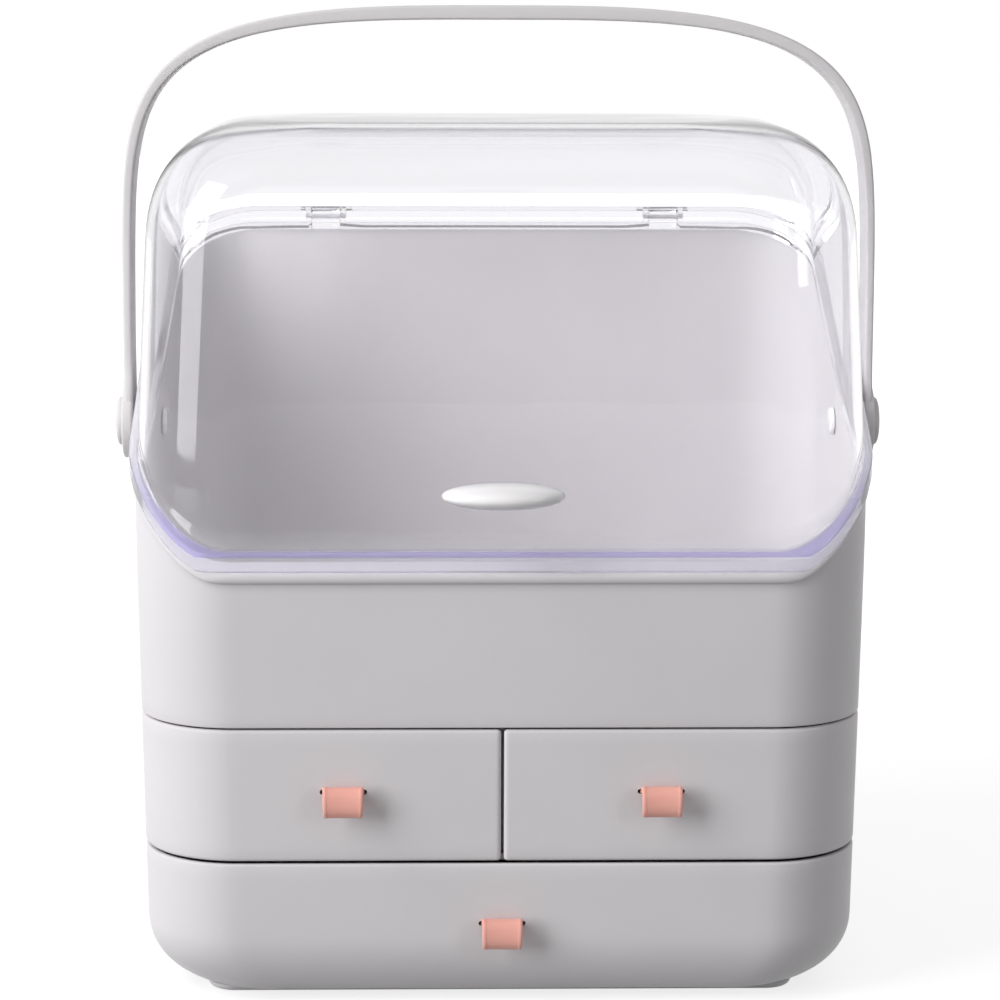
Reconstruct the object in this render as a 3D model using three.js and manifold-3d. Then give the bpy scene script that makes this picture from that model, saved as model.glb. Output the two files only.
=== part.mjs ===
// Dustproof makeup organizer: a rounded plastic box with an open top bin under a clear
// hinged lid, three drawers with curled pull tabs, and a strap handle on side pivots.
// Millimetres. X is the width, the front faces -Y, Z is up. The origin lies on the
// surface the box stands on, under the middle of the body.

import * as THREE from 'three';
import { mergeVertices } from 'three/addons/utils/BufferGeometryUtils.js';
import Module from 'manifold-3d';

const wasm = await Module();
wasm.setup();

// Clearances shared by all pieces
const fit = 0.3;            // between two pieces that rest on each other
const drawerGap = 1.1;      // round the edges of a drawer front
const cutOverrun = 2;       // how far a cutting block reaches past what it cuts

// Outer form of the closed box
const boxWidth = 284.8;
const boxDepth = 191.2;
const boxHeight = 339.4;
const beltHeight = 192;     // the box is widest here
const beltBlend = 20;
const lowerDraftShare = 0.0166;
const binDraftShare = 0.015;   // how much the bin leans in above the belt
const lidDraftShare = 0.05;    // the lid leans in more
const boxCorner = 38;
const bottomRise = 30;
const bottomSideRun = 32;
const bottomFrontRun = 26;
const bottomCut = 5;        // part of the bottom rounding that the flat floor cuts off
const topRise = 46;
const topSideRun = 44;
const topFrontRun = 44;
const topBackRun = 54;
const topCorner = 34;
const topPowerShare = 2.45;     // 2 would round the top of the lid like an ellipse
const footHeight = 3;

// Slanted seam between the top bin and the lid
const rimFrontHeight = 172;
const rimBackDrop = 48.2;   // at the back, below the top of the lid
const kneeRise = 15.8;
const kneeDepth = 31;

// Level seams between the tiers
const lowSeamHeight = 57.9;
const highSeamHeight = 111.1;

// Top bin
const binWall = 2.6;
const beadTall = 4.6;
const beadProud = 1.6;
const beadEdge = 0.9;

// Lid
const lidWall = 2.4;
const flangeTall = 7.4;
const flangeProud = 2.4;
const flangeEdge = 1;
const lidStep = 3;          // least height of the wall between the flange and the rounded top

// Tiers that hold the drawers
const tierWall = 2.4;
const tierFloor = 2.4;
const partitionThickness = 2.4;
const partitionSetback = 6;

// Drawers
const frontThickness = 3;
const wrapDepth = 42;       // how far a drawer front reaches round the corner
const trayWall = 2;
const trayBackGap = 2.5;
const trayHeadroom = 10;    // between the rim of a tray and the seam above it

// Pull tabs
const tabWidth = 16;
const tabThickness = 1.6;
const tabReach = 9;         // how far the curl stands out from the drawer face
const tabTall = 9.8;
const middleTabOffset = 61;
const middleTabRise = 24.4; // above the seam under the drawer
const bottomTabRise = 26.7;
const tabTailLength = 2.4;  // length of the tongue inside the tray
const clipWidth = 21;
const clipTall = 6;
const clipThickness = 1.4;

// Foot plate, pads and screws
const footSideInset = 9.2;  // from the lower edge of the body
const footFrontInset = 7;
const footCorner = 11;
const footEdge = 2.4;
const padRadius = 8;
const padThickness = 1.5;
const padInset = 16;
const footScrewRadius = 1.3;
const footScrewHeadRadius = 2.8;
const footScrewHeadTall = 1;
const footScrewInset = 34;

// Knob on the lid
const knobWidth = 46.6;
const knobReach = 15;
const knobTall = 10;
const knobRise = 29.3;      // above the rim at the front
const knobScrewRadius = 1.5;
const knobScrewDepth = 9;
const knobScrewHeadRadius = 3.2;
const knobScrewHeadTall = 1.6;

// Lid hinges on the back
const hingeOffset = 73;
const hingeRise = 2.4;      // above the rim at the back
const knuckleRadius = 3;
const knuckleWidth = 12.2;
const earThickness = 2.2;
const bracketWidth = 22;
const bracketTall = 27;
const bracketShoulder = 2.4;
const bracketThickness = 3.4;
const hingePinRadius = 1.2;
const bracketScrewRadius = 1.3;
const bracketScrewHeadRadius = 2.4;
const bracketScrewHeadTall = 1.4;
const bracketScrewSpacing = 12;
const bracketScrewRise = 8;

// Handle
const pivotSetback = 3;     // the pivots lie this far behind the middle
const pivotDrop = 24.8;     // below the seam beside them
const handleGap = 38.5;     // for the hand, between the lid and the strap
const strapWidth = 20;
const strapEndThickness = 3.4;
const strapTopThickness = 5.6;
const strapEdge = 1;
const lobeRadius = 15;
const lobeThickness = 4.4;
const strapSetback = 0.9;   // of the strap behind the outer faces of its pivot ends
const bossRadius = 11;
const pinRadius = 4;
const washerThickness = 0.8;
const washerRadius = 9;
const outerCapRadius = 9.8;
const outerCapTall = 2.8;
const innerCapRadius = 5.6;
const innerCapTall = 2.3;
const bossReach = 4.3;      // how far a boss stands out from the wall of the bin

// Smoothness: how many flat facets stand for a round stretch
const cornerFacets = 8;
const roundingFacets = 6;
const strapFacets = 48;
const discFacets = 24;
const smallFacets = 12;

// Where the extra rings of the walls lie, as shares of the way up
const binRingShares = [0.35, 0.7];
const lidRingShares = [0.3, 0.65];

const colours = {
  body: { color: 0xd9d6d8, roughness: 0.5, metalness: 0 },
  front: { color: 0xdad7d9, roughness: 0.48, metalness: 0 },
  clear: { color: 0xeeecf6, roughness: 0.06, metalness: 0 },
  inner: { color: 0xd2cfd2, roughness: 0.55, metalness: 0 },
  coral: { color: 0xf2a08c, roughness: 0.42, metalness: 0 },
  white: { color: 0xf5f4f5, roughness: 0.3, metalness: 0 },
  rubber: { color: 0xb9b6b8, roughness: 0.85, metalness: 0 },
  steel: { color: 0xb8babd, roughness: 0.32, metalness: 1 },
};

const floorLevel = footHeight;
const bottomCentre = footHeight - bottomCut + bottomRise;
const topCentre = boxHeight - topRise;
const frontOfBox = -boxDepth / 2;

// The side of the box leans out up to the belt and in above it
function lean(height, upperShare) {
  const above = height - beltHeight;
  const soft = (above + Math.hypot(above, beltBlend)) / 2;
  return lowerDraftShare * above - (lowerDraftShare + upperShare) * soft;
}

// Share of a rounding's run that is used up at a share of its rise
function roundOff(riseShare, powerShare) {
  const share = THREE.MathUtils.clamp(riseShare, 0, 1);
  return 1 - (1 - share ** powerShare) ** (1 / powerShare);
}

// Rounded-rectangle section of the box at a height, inset from the outer surface
function sectionAt(height, inset, upperShare = binDraftShare) {
  const bottomShare = (bottomCentre - height) / (bottomRise - inset);
  const topShare = (height - topCentre) / (topRise - inset);
  const low = roundOff(bottomShare, 2);
  const high = roundOff(topShare, topPowerShare);
  const leanNow = lean(height, upperShare) - inset;
  const highShare = THREE.MathUtils.clamp(topShare, 0, 1) ** 2;
  return {
    side: boxWidth / 2 + leanNow - low * (bottomSideRun - inset) - high * (topSideRun - inset),
    front: boxDepth / 2 + leanNow - low * (bottomFrontRun - inset) - high * (topFrontRun - inset),
    back: boxDepth / 2 + leanNow - low * (bottomFrontRun - inset) - high * (topBackRun - inset),
    corner: boxCorner - inset + highShare * (topCorner - boxCorner),
  };
}

// Point of a section on one of its columns; columns run round the four corners
const columnCount = 4 * (cornerFacets + 1);
function columnPoint(section, column, height) {
  const quarter = Math.floor(column / (cornerFacets + 1));
  const step = column % (cornerFacets + 1);
  const angle = (quarter - 1 + step / cornerFacets) * Math.PI / 2;
  const sideSign = quarter === 0 || quarter === 1 ? 1 : -1;
  const isBack = quarter === 1 || quarter === 2;
  const centreX = sideSign * (section.side - section.corner);
  const centreY = isBack ? section.back - section.corner : section.corner - section.front;
  return new THREE.Vector3(
    centreX + section.corner * Math.cos(angle),
    centreY + section.corner * Math.sin(angle),
    height,
  );
}

function ring(pointAtColumn) {
  return Array.from({ length: columnCount }, (unused, column) => pointAtColumn(column));
}

function levelRing(height, inset, upperShare) {
  const section = sectionAt(height, inset, upperShare);
  return ring((column) => columnPoint(section, column, height));
}

const rimBackHeight = boxHeight - rimBackDrop;

// Height of the slanted seam at a depth
function seamHeight(y) {
  const behind = Math.max(y - frontOfBox, 0);
  const knee = 1 - (1 - Math.min(behind / kneeDepth, 1)) ** 2;
  const slopeRise = rimBackHeight - rimFrontHeight - kneeRise;
  return rimFrontHeight + slopeRise * behind / boxDepth + kneeRise * knee;
}

// Point on the box surface where a column meets the seam, lifted along the column
function seamPoint(column, lift, inset, upperShare) {
  let height = rimFrontHeight;
  let point = columnPoint(sectionAt(height, inset, upperShare), column, height);
  for (let pass = 0; pass < 8; pass += 1) {
    height = seamHeight(point.y) + lift;
    point = columnPoint(sectionAt(height, inset, upperShare), column, height);
  }
  return point;
}

function seamRing(lift, inset, upperShare) {
  return ring((column) => seamPoint(column, lift, inset, upperShare));
}

// Ring between two levels of each column, at a share of the way up
function betweenRing(lowRing, highRing, share, inset) {
  return ring((column) => {
    const height = THREE.MathUtils.lerp(lowRing[column].z, highRing[column].z, share);
    return columnPoint(sectionAt(height, inset), column, height);
  });
}

// Height on the rounding of the top, where its angle is a share of the way from a start height
function topHeight(start, share, inset) {
  const rise = topRise - inset;
  const startShare = THREE.MathUtils.clamp((start - topCentre) / rise, 0, 1);
  const startAngle = Math.asin(startShare ** (topPowerShare / 2));
  const angle = THREE.MathUtils.lerp(startAngle, Math.PI / 2, share);
  return topCentre + rise * Math.sin(angle) ** (2 / topPowerShare);
}

const roundingShares = Array.from(
  { length: roundingFacets + 1 }, (unused, step) => step / roundingFacets);

// Rings of the lid above a foot ring: each column runs up its wall and over the rounded top
function lidRings(foot, inset) {
  const starts = foot.map((point) => Math.max(topCentre, point.z + lidStep));
  const at = (column, height) => (
    columnPoint(sectionAt(height, inset, lidDraftShare), column, height));
  const wall = lidRingShares.map((share) => ring((column) => (
    at(column, THREE.MathUtils.lerp(foot[column].z, starts[column], share)))));
  const top = roundingShares.map((share) => ring((column) => (
    at(column, topHeight(starts[column], share, inset)))));
  return [...wall, ...top];
}

function centreOf(points) {
  const sum = points.reduce((total, point) => total.add(point), new THREE.Vector3());
  return sum.divideScalar(points.length);
}

// Closed surface through rings of equal length, its two ends closed by fans
function loft(rings) {
  const count = rings[0].length;
  const points = rings.flat();
  const indices = [];
  for (let level = 0; level < rings.length - 1; level += 1) {
    for (let column = 0; column < count; column += 1) {
      const next = (column + 1) % count;
      const low = level * count;
      const high = low + count;
      indices.push(low + column, low + next, high + next);
      indices.push(low + column, high + next, high + column);
    }
  }
  const firstCentre = points.push(centreOf(rings[0])) - 1;
  const lastCentre = points.push(centreOf(rings[rings.length - 1])) - 1;
  const lastStart = (rings.length - 1) * count;
  for (let column = 0; column < count; column += 1) {
    const next = (column + 1) % count;
    indices.push(firstCentre, next, column);
    indices.push(lastCentre, lastStart + column, lastStart + next);
  }
  const geometry = new THREE.BufferGeometry();
  geometry.setFromPoints(points);
  geometry.setIndex(indices);
  return geometry;
}

// Solids for joining and cutting
function solidOf(geometry) {
  const plain = geometry.clone();
  plain.deleteAttribute('normal');
  plain.deleteAttribute('uv');
  const merged = mergeVertices(plain);
  return new wasm.Manifold(new wasm.Mesh({
    numProp: 3,
    vertProperties: new Float32Array(merged.attributes.position.array),
    triVerts: new Uint32Array(merged.index.array),
  }));
}

function geometryOf(solid) {
  const mesh = solid.getMesh();
  const geometry = new THREE.BufferGeometry();
  geometry.setAttribute('position', new THREE.BufferAttribute(mesh.vertProperties, 3));
  geometry.setIndex(new THREE.BufferAttribute(mesh.triVerts, 1));
  return geometry;
}

function blockSolid(low, high) {
  const size = high.clone().sub(low);
  const middle = high.clone().add(low).divideScalar(2);
  const geometry = new THREE.BoxGeometry(size.x, size.y, size.z);
  geometry.translate(middle.x, middle.y, middle.z);
  return solidOf(geometry);
}

function vector(x, y, z) {
  return new THREE.Vector3(x, y, z);
}

// Round bar between two points
function rodGeometry(radius, start, end) {
  const along = end.clone().sub(start);
  const facets = radius < pinRadius ? smallFacets : discFacets;
  const geometry = new THREE.CylinderGeometry(radius, radius, along.length(), facets);
  const direction = along.clone().normalize();
  geometry.applyQuaternion(new THREE.Quaternion().setFromUnitVectors(vector(0, 1, 0), direction));
  const middle = start.clone().add(end).divideScalar(2);
  geometry.translate(middle.x, middle.y, middle.z);
  return geometry;
}

function rodSolid(radius, start, end) {
  return solidOf(rodGeometry(radius, start, end));
}

// Turned shape: a profile of [radius, distance] pairs, spun round a line from a point
function turnedGeometry(profile, start, direction) {
  const outline = profile.map(([radius, distance]) => new THREE.Vector2(radius, distance));
  const widest = Math.max(...profile.map(([radius]) => radius));
  const geometry = new THREE.LatheGeometry(outline, widest < pinRadius ? smallFacets : discFacets);
  geometry.applyQuaternion(new THREE.Quaternion().setFromUnitVectors(vector(0, 1, 0), direction));
  geometry.translate(start.x, start.y, start.z);
  return geometry;
}

// Extruded outline in the Y-Z plane, between two places along X
function sideExtrusion(outline, startX, endX) {
  const shape = new THREE.Shape(outline.map(([y, z]) => new THREE.Vector2(y, z)));
  const geometry = new THREE.ExtrudeGeometry(shape, { depth: endX - startX, bevelEnabled: false });
  geometry.applyMatrix4(new THREE.Matrix4().makeBasis(vector(0, 1, 0), vector(0, 0, 1), vector(1, 0, 0)));
  geometry.translate(startX, 0, 0);
  return geometry;
}

// The whole box, inset all round, as one solid
const envelopes = new Map();
function envelope(inset, upperShare = binDraftShare) {
  const key = `${inset} ${upperShare}`;
  if (!envelopes.has(key)) {
    const rings = [];
    const bottomLow = Math.max(floorLevel, bottomCentre - (bottomRise - inset));
    const lowAngle = Math.asin(Math.min((bottomCentre - bottomLow) / (bottomRise - inset), 1));
    for (let step = roundingFacets; step >= 0; step -= 1) {
      const angle = lowAngle * step / roundingFacets;
      const height = bottomCentre - (bottomRise - inset) * Math.sin(angle);
      rings.push(levelRing(height, inset, upperShare));
    }
    for (const height of [beltHeight - beltBlend, beltHeight, beltHeight + beltBlend]) {
      rings.push(levelRing(height, inset, upperShare));
    }
    for (const share of roundingShares) {
      rings.push(levelRing(topHeight(topCentre, share, inset), inset, upperShare));
    }
    envelopes.set(key, solidOf(loft(rings)));
  }
  return envelopes.get(key);
}

// Block that spans the box in X and is bounded in depth and height
function slab(frontY, backY, lowZ, highZ) {
  return blockSolid(vector(-boxWidth, frontY, lowZ), vector(boxWidth, backY, highZ));
}

// Depth of the outer face at the front and the back of the box
function frontFace(height, upperShare) {
  return -sectionAt(height, 0, upperShare).front;
}

function backFace(height, upperShare) {
  return sectionAt(height, 0, upperShare).back;
}

function sideFace(height) {
  return sectionAt(height, 0).side;
}

const group = new THREE.Group();
group.name = 'makeup_organizer';

function addPiece(name, geometry, finish) {
  const material = new THREE.MeshStandardMaterial(colours[finish]);
  material.transparent = finish === 'clear';
  material.opacity = finish === 'clear' ? 0.35 : 1;
  const mesh = new THREE.Mesh(geometry, material);
  mesh.name = name;
  group.add(mesh);
  return mesh;
}

const sides = [['left', -1], ['right', 1]];
const wrapEnd = frontOfBox + wrapDepth;

// Places along the handle pivots, from the middle outwards
const pivotY = pivotSetback;
const pivotHeight = seamHeight(pivotY) - pivotDrop;
const handleRise = boxHeight + handleGap + strapTopThickness - pivotHeight;
const pivotWall = sideFace(pivotHeight);
const bossEnd = pivotWall + bossReach;
const washerStart = bossEnd + fit;
const washerEnd = washerStart + washerThickness;
const lobeStart = washerEnd + fit;
const lobeEnd = lobeStart + lobeThickness;
const outerCapStart = lobeEnd + fit;
const strapReach = lobeEnd - strapSetback;

// Places of the hinges
const hingeHeight = rimBackHeight + hingeRise;
const flangeBack = backFace(hingeHeight) + flangeProud;
const hingeY = flangeBack + knuckleRadius + fit * 2;
const bracketTop = hingeHeight - knuckleRadius - fit * 2;

const knobHeight = rimFrontHeight + knobRise;
const knobFace = frontFace(knobHeight, lidDraftShare);

// Top bin: wall, floor, bead under the lid, pivot bosses and screw holes
function topBin() {
  const bottom = highSeamHeight + fit / 2;
  const low = levelRing(bottom, 0);
  const beadFoot = seamRing(-beadTall, 0);
  const innerLow = levelRing(bottom + binWall, binWall);
  const innerTop = seamRing(0, binWall);
  let solid = solidOf(loft([
    low,
    ...binRingShares.map((share) => betweenRing(low, beadFoot, share, 0)),
    beadFoot,
    seamRing(beadEdge - beadTall, -beadProud),
    seamRing(-beadEdge, -beadProud),
    seamRing(0, beadEdge - beadProud),
    innerTop,
    ...binRingShares.toReversed().map((share) => betweenRing(innerLow, innerTop, share, binWall)),
    innerLow,
  ]));
  for (const [, sign] of sides) {
    const start = vector(sign * (pivotWall - binWall / 2), pivotY, pivotHeight);
    const end = vector(sign * bossEnd, pivotY, pivotHeight);
    solid = solid.add(rodSolid(bossRadius, start, end));
    const drillStart = vector(sign * (pivotWall - binWall - cutOverrun), pivotY, pivotHeight);
    const drillEnd = vector(sign * (bossEnd + cutOverrun), pivotY, pivotHeight);
    solid = solid.subtract(rodSolid(pinRadius + fit, drillStart, drillEnd));
    for (const x of bracketScrewPlaces(sign)) {
      const wall = backFace(bracketScrewHeight);
      const from = vector(x, wall - binWall - cutOverrun, bracketScrewHeight);
      const to = vector(x, wall + cutOverrun, bracketScrewHeight);
      solid = solid.subtract(rodSolid(bracketScrewRadius + fit, from, to));
    }
  }
  return geometryOf(solid);
}

// Lid: clear shell with a proud flange, hinge knuckles and the knob's screw hole
function lidShell() {
  const outerFoot = seamRing(fit, -flangeProud + flangeEdge);
  const flangeTop = seamRing(fit + flangeTall, 0, lidDraftShare);
  const innerFoot = seamRing(fit, lidWall, lidDraftShare);
  let solid = solidOf(loft([
    ...lidRings(innerFoot, lidWall).toReversed(),
    innerFoot,
    outerFoot,
    seamRing(fit + flangeEdge, -flangeProud),
    seamRing(fit + flangeTall - flangeEdge, -flangeProud),
    flangeTop,
    ...lidRings(flangeTop, 0),
  ]));
  for (const [, sign] of sides) {
    const middle = sign * hingeOffset;
    const from = vector(middle - knuckleWidth / 2, hingeY, hingeHeight);
    const to = vector(middle + knuckleWidth / 2, hingeY, hingeHeight);
    const armLow = seamHeight(flangeBack) + fit;
    const arm = blockSolid(
      vector(from.x, backFace(hingeHeight, lidDraftShare) - lidWall / 2, armLow),
      vector(to.x, hingeY, hingeHeight + knuckleRadius / 2),
    );
    solid = solid.add(rodSolid(knuckleRadius, from, to)).add(arm);
    const drillFrom = vector(from.x - cutOverrun, hingeY, hingeHeight);
    const drillTo = vector(to.x + cutOverrun, hingeY, hingeHeight);
    solid = solid.subtract(rodSolid(hingePinRadius + fit, drillFrom, drillTo));
  }
  const drillFrom = vector(0, knobFace - cutOverrun, knobHeight);
  const drillTo = vector(0, knobFace + lidWall + cutOverrun, knobHeight);
  return geometryOf(solid.subtract(rodSolid(knobScrewRadius + fit, drillFrom, drillTo)));
}

const bracketLow = bracketTop - bracketTall;
const bracketScrewHeight = bracketLow + bracketScrewRise;
function bracketScrewPlaces(sign) {
  return [-1, 1].map((end) => sign * hingeOffset + end * bracketScrewSpacing / 2);
}

// Hinge bracket: a clear plate on the back of the bin, with two ears for the pin
function hingeBracket(sign) {
  const middle = sign * hingeOffset;
  const plateFront = flangeBack + fit * 2;
  const plateBack = plateFront + bracketThickness;
  const shoulder = seamHeight(backFace(hingeHeight)) - beadTall - fit;
  const plate = [
    [backFace(bracketLow) - cutOverrun, bracketLow],
    [plateBack - bracketShoulder, bracketLow],
    [plateBack, bracketLow + bracketShoulder],
    [plateBack, bracketTop - bracketShoulder],
    [hingeY + knuckleRadius, bracketTop],
    [plateFront, bracketTop],
    [plateFront, shoulder],
    [backFace(shoulder) - cutOverrun, shoulder],
  ];
  let solid = solidOf(sideExtrusion(plate, middle - bracketWidth / 2, middle + bracketWidth / 2));
  for (const end of [-1, 1]) {
    const inside = middle + end * (knuckleWidth / 2 + fit);
    const outside = inside + end * earThickness;
    solid = solid.add(rodSolid(knuckleRadius, vector(inside, hingeY, hingeHeight),
      vector(outside, hingeY, hingeHeight)));
    solid = solid.add(blockSolid(
      vector(Math.min(inside, outside), hingeY - knuckleRadius, bracketTop - fit),
      vector(Math.max(inside, outside), hingeY + knuckleRadius, hingeHeight),
    ));
  }
  const drillFrom = vector(middle - bracketWidth / 2, hingeY, hingeHeight);
  const drillTo = vector(middle + bracketWidth / 2, hingeY, hingeHeight);
  solid = solid.subtract(rodSolid(hingePinRadius + fit, drillFrom, drillTo));
  solid = solid.subtract(envelope(-fit));
  for (const x of bracketScrewPlaces(sign)) {
    const from = vector(x, backFace(bracketScrewHeight) - cutOverrun, bracketScrewHeight);
    const to = vector(x, plateBack + cutOverrun, bracketScrewHeight);
    solid = solid.subtract(rodSolid(bracketScrewRadius + fit, from, to));
  }
  return geometryOf(solid);
}

function hingePin(sign) {
  const reach = knuckleWidth / 2 + fit + earThickness;
  const middle = sign * hingeOffset;
  return rodGeometry(hingePinRadius, vector(middle - reach, hingeY, hingeHeight),
    vector(middle + reach, hingeY, hingeHeight));
}

// Pan-head screw: shank and a rounded head, starting at the seat of the head
function screwGeometry(shankRadius, shankLength, headRadius, headTall, seat, direction) {
  return turnedGeometry([
    [0, shankLength],
    [shankRadius, shankLength],
    [shankRadius, 0],
    [headRadius, 0],
    [headRadius, -headTall / 2],
    [headRadius / 2, -headTall],
    [0, -headTall],
  ].reverse(), seat, direction);
}

function bracketScrew(x) {
  const plateBack = flangeBack + fit * 2 + bracketThickness;
  const length = plateBack - backFace(bracketScrewHeight) + binWall;
  return screwGeometry(bracketScrewRadius, length, bracketScrewHeadRadius,
    bracketScrewHeadTall, vector(x, plateBack + fit, bracketScrewHeight), vector(0, -1, 0));
}

// Knob: a smooth pebble whose back half is cut away by the lid
function lidKnob() {
  const pebble = new THREE.SphereGeometry(1, discFacets, discFacets / 2);
  pebble.scale(knobWidth / 2, knobReach, knobTall / 2);
  pebble.translate(0, knobFace, knobHeight);
  const drillFrom = vector(0, knobFace - knobScrewDepth - fit, knobHeight);
  const drillTo = vector(0, knobFace + cutOverrun, knobHeight);
  return geometryOf(solidOf(pebble)
    .subtract(envelope(-fit, lidDraftShare))
    .subtract(rodSolid(knobScrewRadius + fit, drillFrom, drillTo)));
}

function knobScrew() {
  const seat = vector(0, knobFace + lidWall + fit, knobHeight);
  return screwGeometry(knobScrewRadius, lidWall + fit + knobScrewDepth,
    knobScrewHeadRadius, knobScrewHeadTall, seat, vector(0, -1, 0));
}

// Tier: walls behind the drawer fronts, with a floor that runs on between them
function tier(bottom, top) {
  const floorTop = bottom + tierFloor;
  const walls = envelope(0).intersect(slab(wrapEnd + drawerGap, boxDepth, bottom, top));
  const floorFront = envelope(frontThickness + drawerGap)
    .intersect(slab(-boxDepth, wrapEnd + drawerGap + cutOverrun, bottom, floorTop));
  const hollow = envelope(tierWall).intersect(slab(-boxDepth, boxDepth, floorTop, boxHeight));
  return walls.add(floorFront).subtract(hollow);
}

const middleTierBottom = lowSeamHeight + fit / 2;
const middleTierTop = highSeamHeight - fit / 2;
const lowerTierTop = lowSeamHeight - fit / 2;
const middleFloorTop = middleTierBottom + tierFloor;
const lowerFloorTop = floorLevel + tierFloor;

function footScrewPlaces() {
  const x = footWidth / 2 - footScrewInset;
  const y = footDepth / 2 - padInset;
  return [[x, y], [-x, y], [-x, -y], [x, -y]];
}

function lowerTier() {
  let solid = tier(floorLevel, lowerTierTop);
  for (const [x, y] of footScrewPlaces()) {
    solid = solid.subtract(rodSolid(footScrewRadius + fit,
      vector(x, y, floorLevel - cutOverrun), vector(x, y, lowerFloorTop + cutOverrun)));
  }
  return geometryOf(solid);
}

// Divider between the two middle drawers
function centrePartition() {
  const half = partitionThickness / 2;
  const back = sectionAt(middleFloorTop, tierWall).back - fit;
  return geometryOf(blockSolid(
    vector(-half, frontOfBox + frontThickness + partitionSetback, middleFloorTop + fit),
    vector(half, back, middleTierTop),
  ));
}

// Foot plate with a turned-in lower edge, pad recesses and screw seats
const plateHigh = floorLevel - fit;
const footWidth = 2 * (sideFace(floorLevel) - footSideInset);
const footDepth = 2 * (backFace(floorLevel) - footFrontInset);
function footRing(height, inset) {
  const section = {
    side: footWidth / 2 - inset,
    front: footDepth / 2 - inset,
    back: footDepth / 2 - inset,
    corner: footCorner - inset,
  };
  return ring((column) => columnPoint(section, column, height));
}

function padPlaces() {
  const x = footWidth / 2 - padInset;
  const y = footDepth / 2 - padInset;
  return [[x, y], [-x, y], [-x, -y], [x, -y]];
}

function footPlate() {
  let solid = solidOf(loft([
    footRing(0, footEdge),
    footRing(plateHigh / 2, footEdge / 4),
    footRing(plateHigh, 0),
  ]));
  for (const [x, y] of padPlaces()) {
    solid = solid.subtract(rodSolid(padRadius + fit,
      vector(x, y, -cutOverrun), vector(x, y, padThickness + fit)));
  }
  for (const [x, y] of footScrewPlaces()) {
    solid = solid.subtract(rodSolid(footScrewRadius + fit,
      vector(x, y, -cutOverrun), vector(x, y, plateHigh + cutOverrun)));
    solid = solid.subtract(rodSolid(footScrewHeadRadius + fit,
      vector(x, y, -cutOverrun), vector(x, y, footScrewHeadTall + fit)));
  }
  return geometryOf(solid);
}

function footPad([x, y]) {
  return rodGeometry(padRadius, vector(x, y, 0), vector(x, y, padThickness));
}

function footScrew([x, y]) {
  const length = lowerFloorTop - fit - footScrewHeadTall;
  return screwGeometry(footScrewRadius, length, footScrewHeadRadius,
    footScrewHeadTall, vector(x, y, footScrewHeadTall), vector(0, 0, 1));
}

// Pull tab: a strip that leaves the drawer face level, rises a little and curls over and down
const tabPathShares = [
  [0.1, 0.393],
  [0.2, 0.44],
  [0.3, 0.54],
  [0.42, 0.625],
  [0.56, 0.64],
  [0.7, 0.57],
  [0.82, 0.4],
  [0.88, 0.18],
  [0.89, -0.05],
  [0.84, -0.25],
  [0.72, -0.4],
];
function tabOutline(face, height) {
  const inside = frontThickness + fit + trayWall + tabTailLength;
  const tongueRise = tabPathShares[0][1] * tabTall;
  const curl = new THREE.SplineCurve(tabPathShares.map(([out, rise]) => new THREE.Vector2(
    face - out * tabReach, height + rise * tabTall)));
  const tail = new THREE.Vector2(face + inside, height + tongueRise);
  const middleLine = [tail, ...curl.getPoints(roundingFacets * 2)];
  const outer = [];
  const inner = [];
  middleLine.forEach((point, index) => {
    const before = middleLine[Math.max(index - 1, 0)];
    const after = middleLine[Math.min(index + 1, middleLine.length - 1)];
    const along = after.clone().sub(before).normalize();
    const across = new THREE.Vector2(along.y, -along.x).multiplyScalar(tabThickness / 2);
    outer.push([point.x + across.x, point.y + across.y]);
    inner.push([point.x - across.x, point.y - across.y]);
  });
  return [...outer, ...inner.reverse()];
}

function tongueLevel(height) {
  return height + tabPathShares[0][1] * tabTall;
}

function tabSlot(x, height) {
  const half = tabThickness / 2 + fit;
  const face = frontFace(height);
  const level = tongueLevel(height);
  const back = face + frontThickness + trayWall + tabTailLength + cutOverrun;
  return blockSolid(
    vector(x - tabWidth / 2 - fit, face - cutOverrun, level - half),
    vector(x + tabWidth / 2 + fit, back, level + half),
  );
}

// Push-on clip that holds the tongue of a tab inside the tray
function tabClip(x, height) {
  const level = tongueLevel(height);
  const start = -sectionAt(level, frontThickness + fit + trayWall).front + fit * 2;
  const plate = blockSolid(
    vector(x - clipWidth / 2, start, level - clipTall / 2),
    vector(x + clipWidth / 2, start + clipThickness, level + clipTall / 2),
  );
  return geometryOf(plate.subtract(tabSlot(x, height)));
}

// Drawers: front that wraps the box corners, tray, tab and clip
const farOut = boxWidth;
const drawers = [
  {
    name: 'left_drawer',
    from: -farOut,
    to: -drawerGap / 2,
    tabX: -middleTabOffset,
    tabHeight: lowSeamHeight + middleTabRise,
    low: lowSeamHeight + drawerGap / 2,
    high: highSeamHeight - drawerGap / 2,
    trayLow: middleFloorTop + fit,
    trayHigh: highSeamHeight - trayHeadroom,
  },
  {
    name: 'right_drawer',
    from: drawerGap / 2,
    to: farOut,
    tabX: middleTabOffset,
    tabHeight: lowSeamHeight + middleTabRise,
    low: lowSeamHeight + drawerGap / 2,
    high: highSeamHeight - drawerGap / 2,
    trayLow: middleFloorTop + fit,
    trayHigh: highSeamHeight - trayHeadroom,
  },
  {
    name: 'bottom_drawer',
    from: -farOut,
    to: farOut,
    tabX: 0,
    tabHeight: floorLevel + bottomTabRise,
    low: floorLevel + drawerGap / 2,
    high: lowSeamHeight - drawerGap / 2,
    trayLow: lowerFloorTop + fit,
    trayHigh: lowSeamHeight - trayHeadroom,
  },
];

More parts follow.
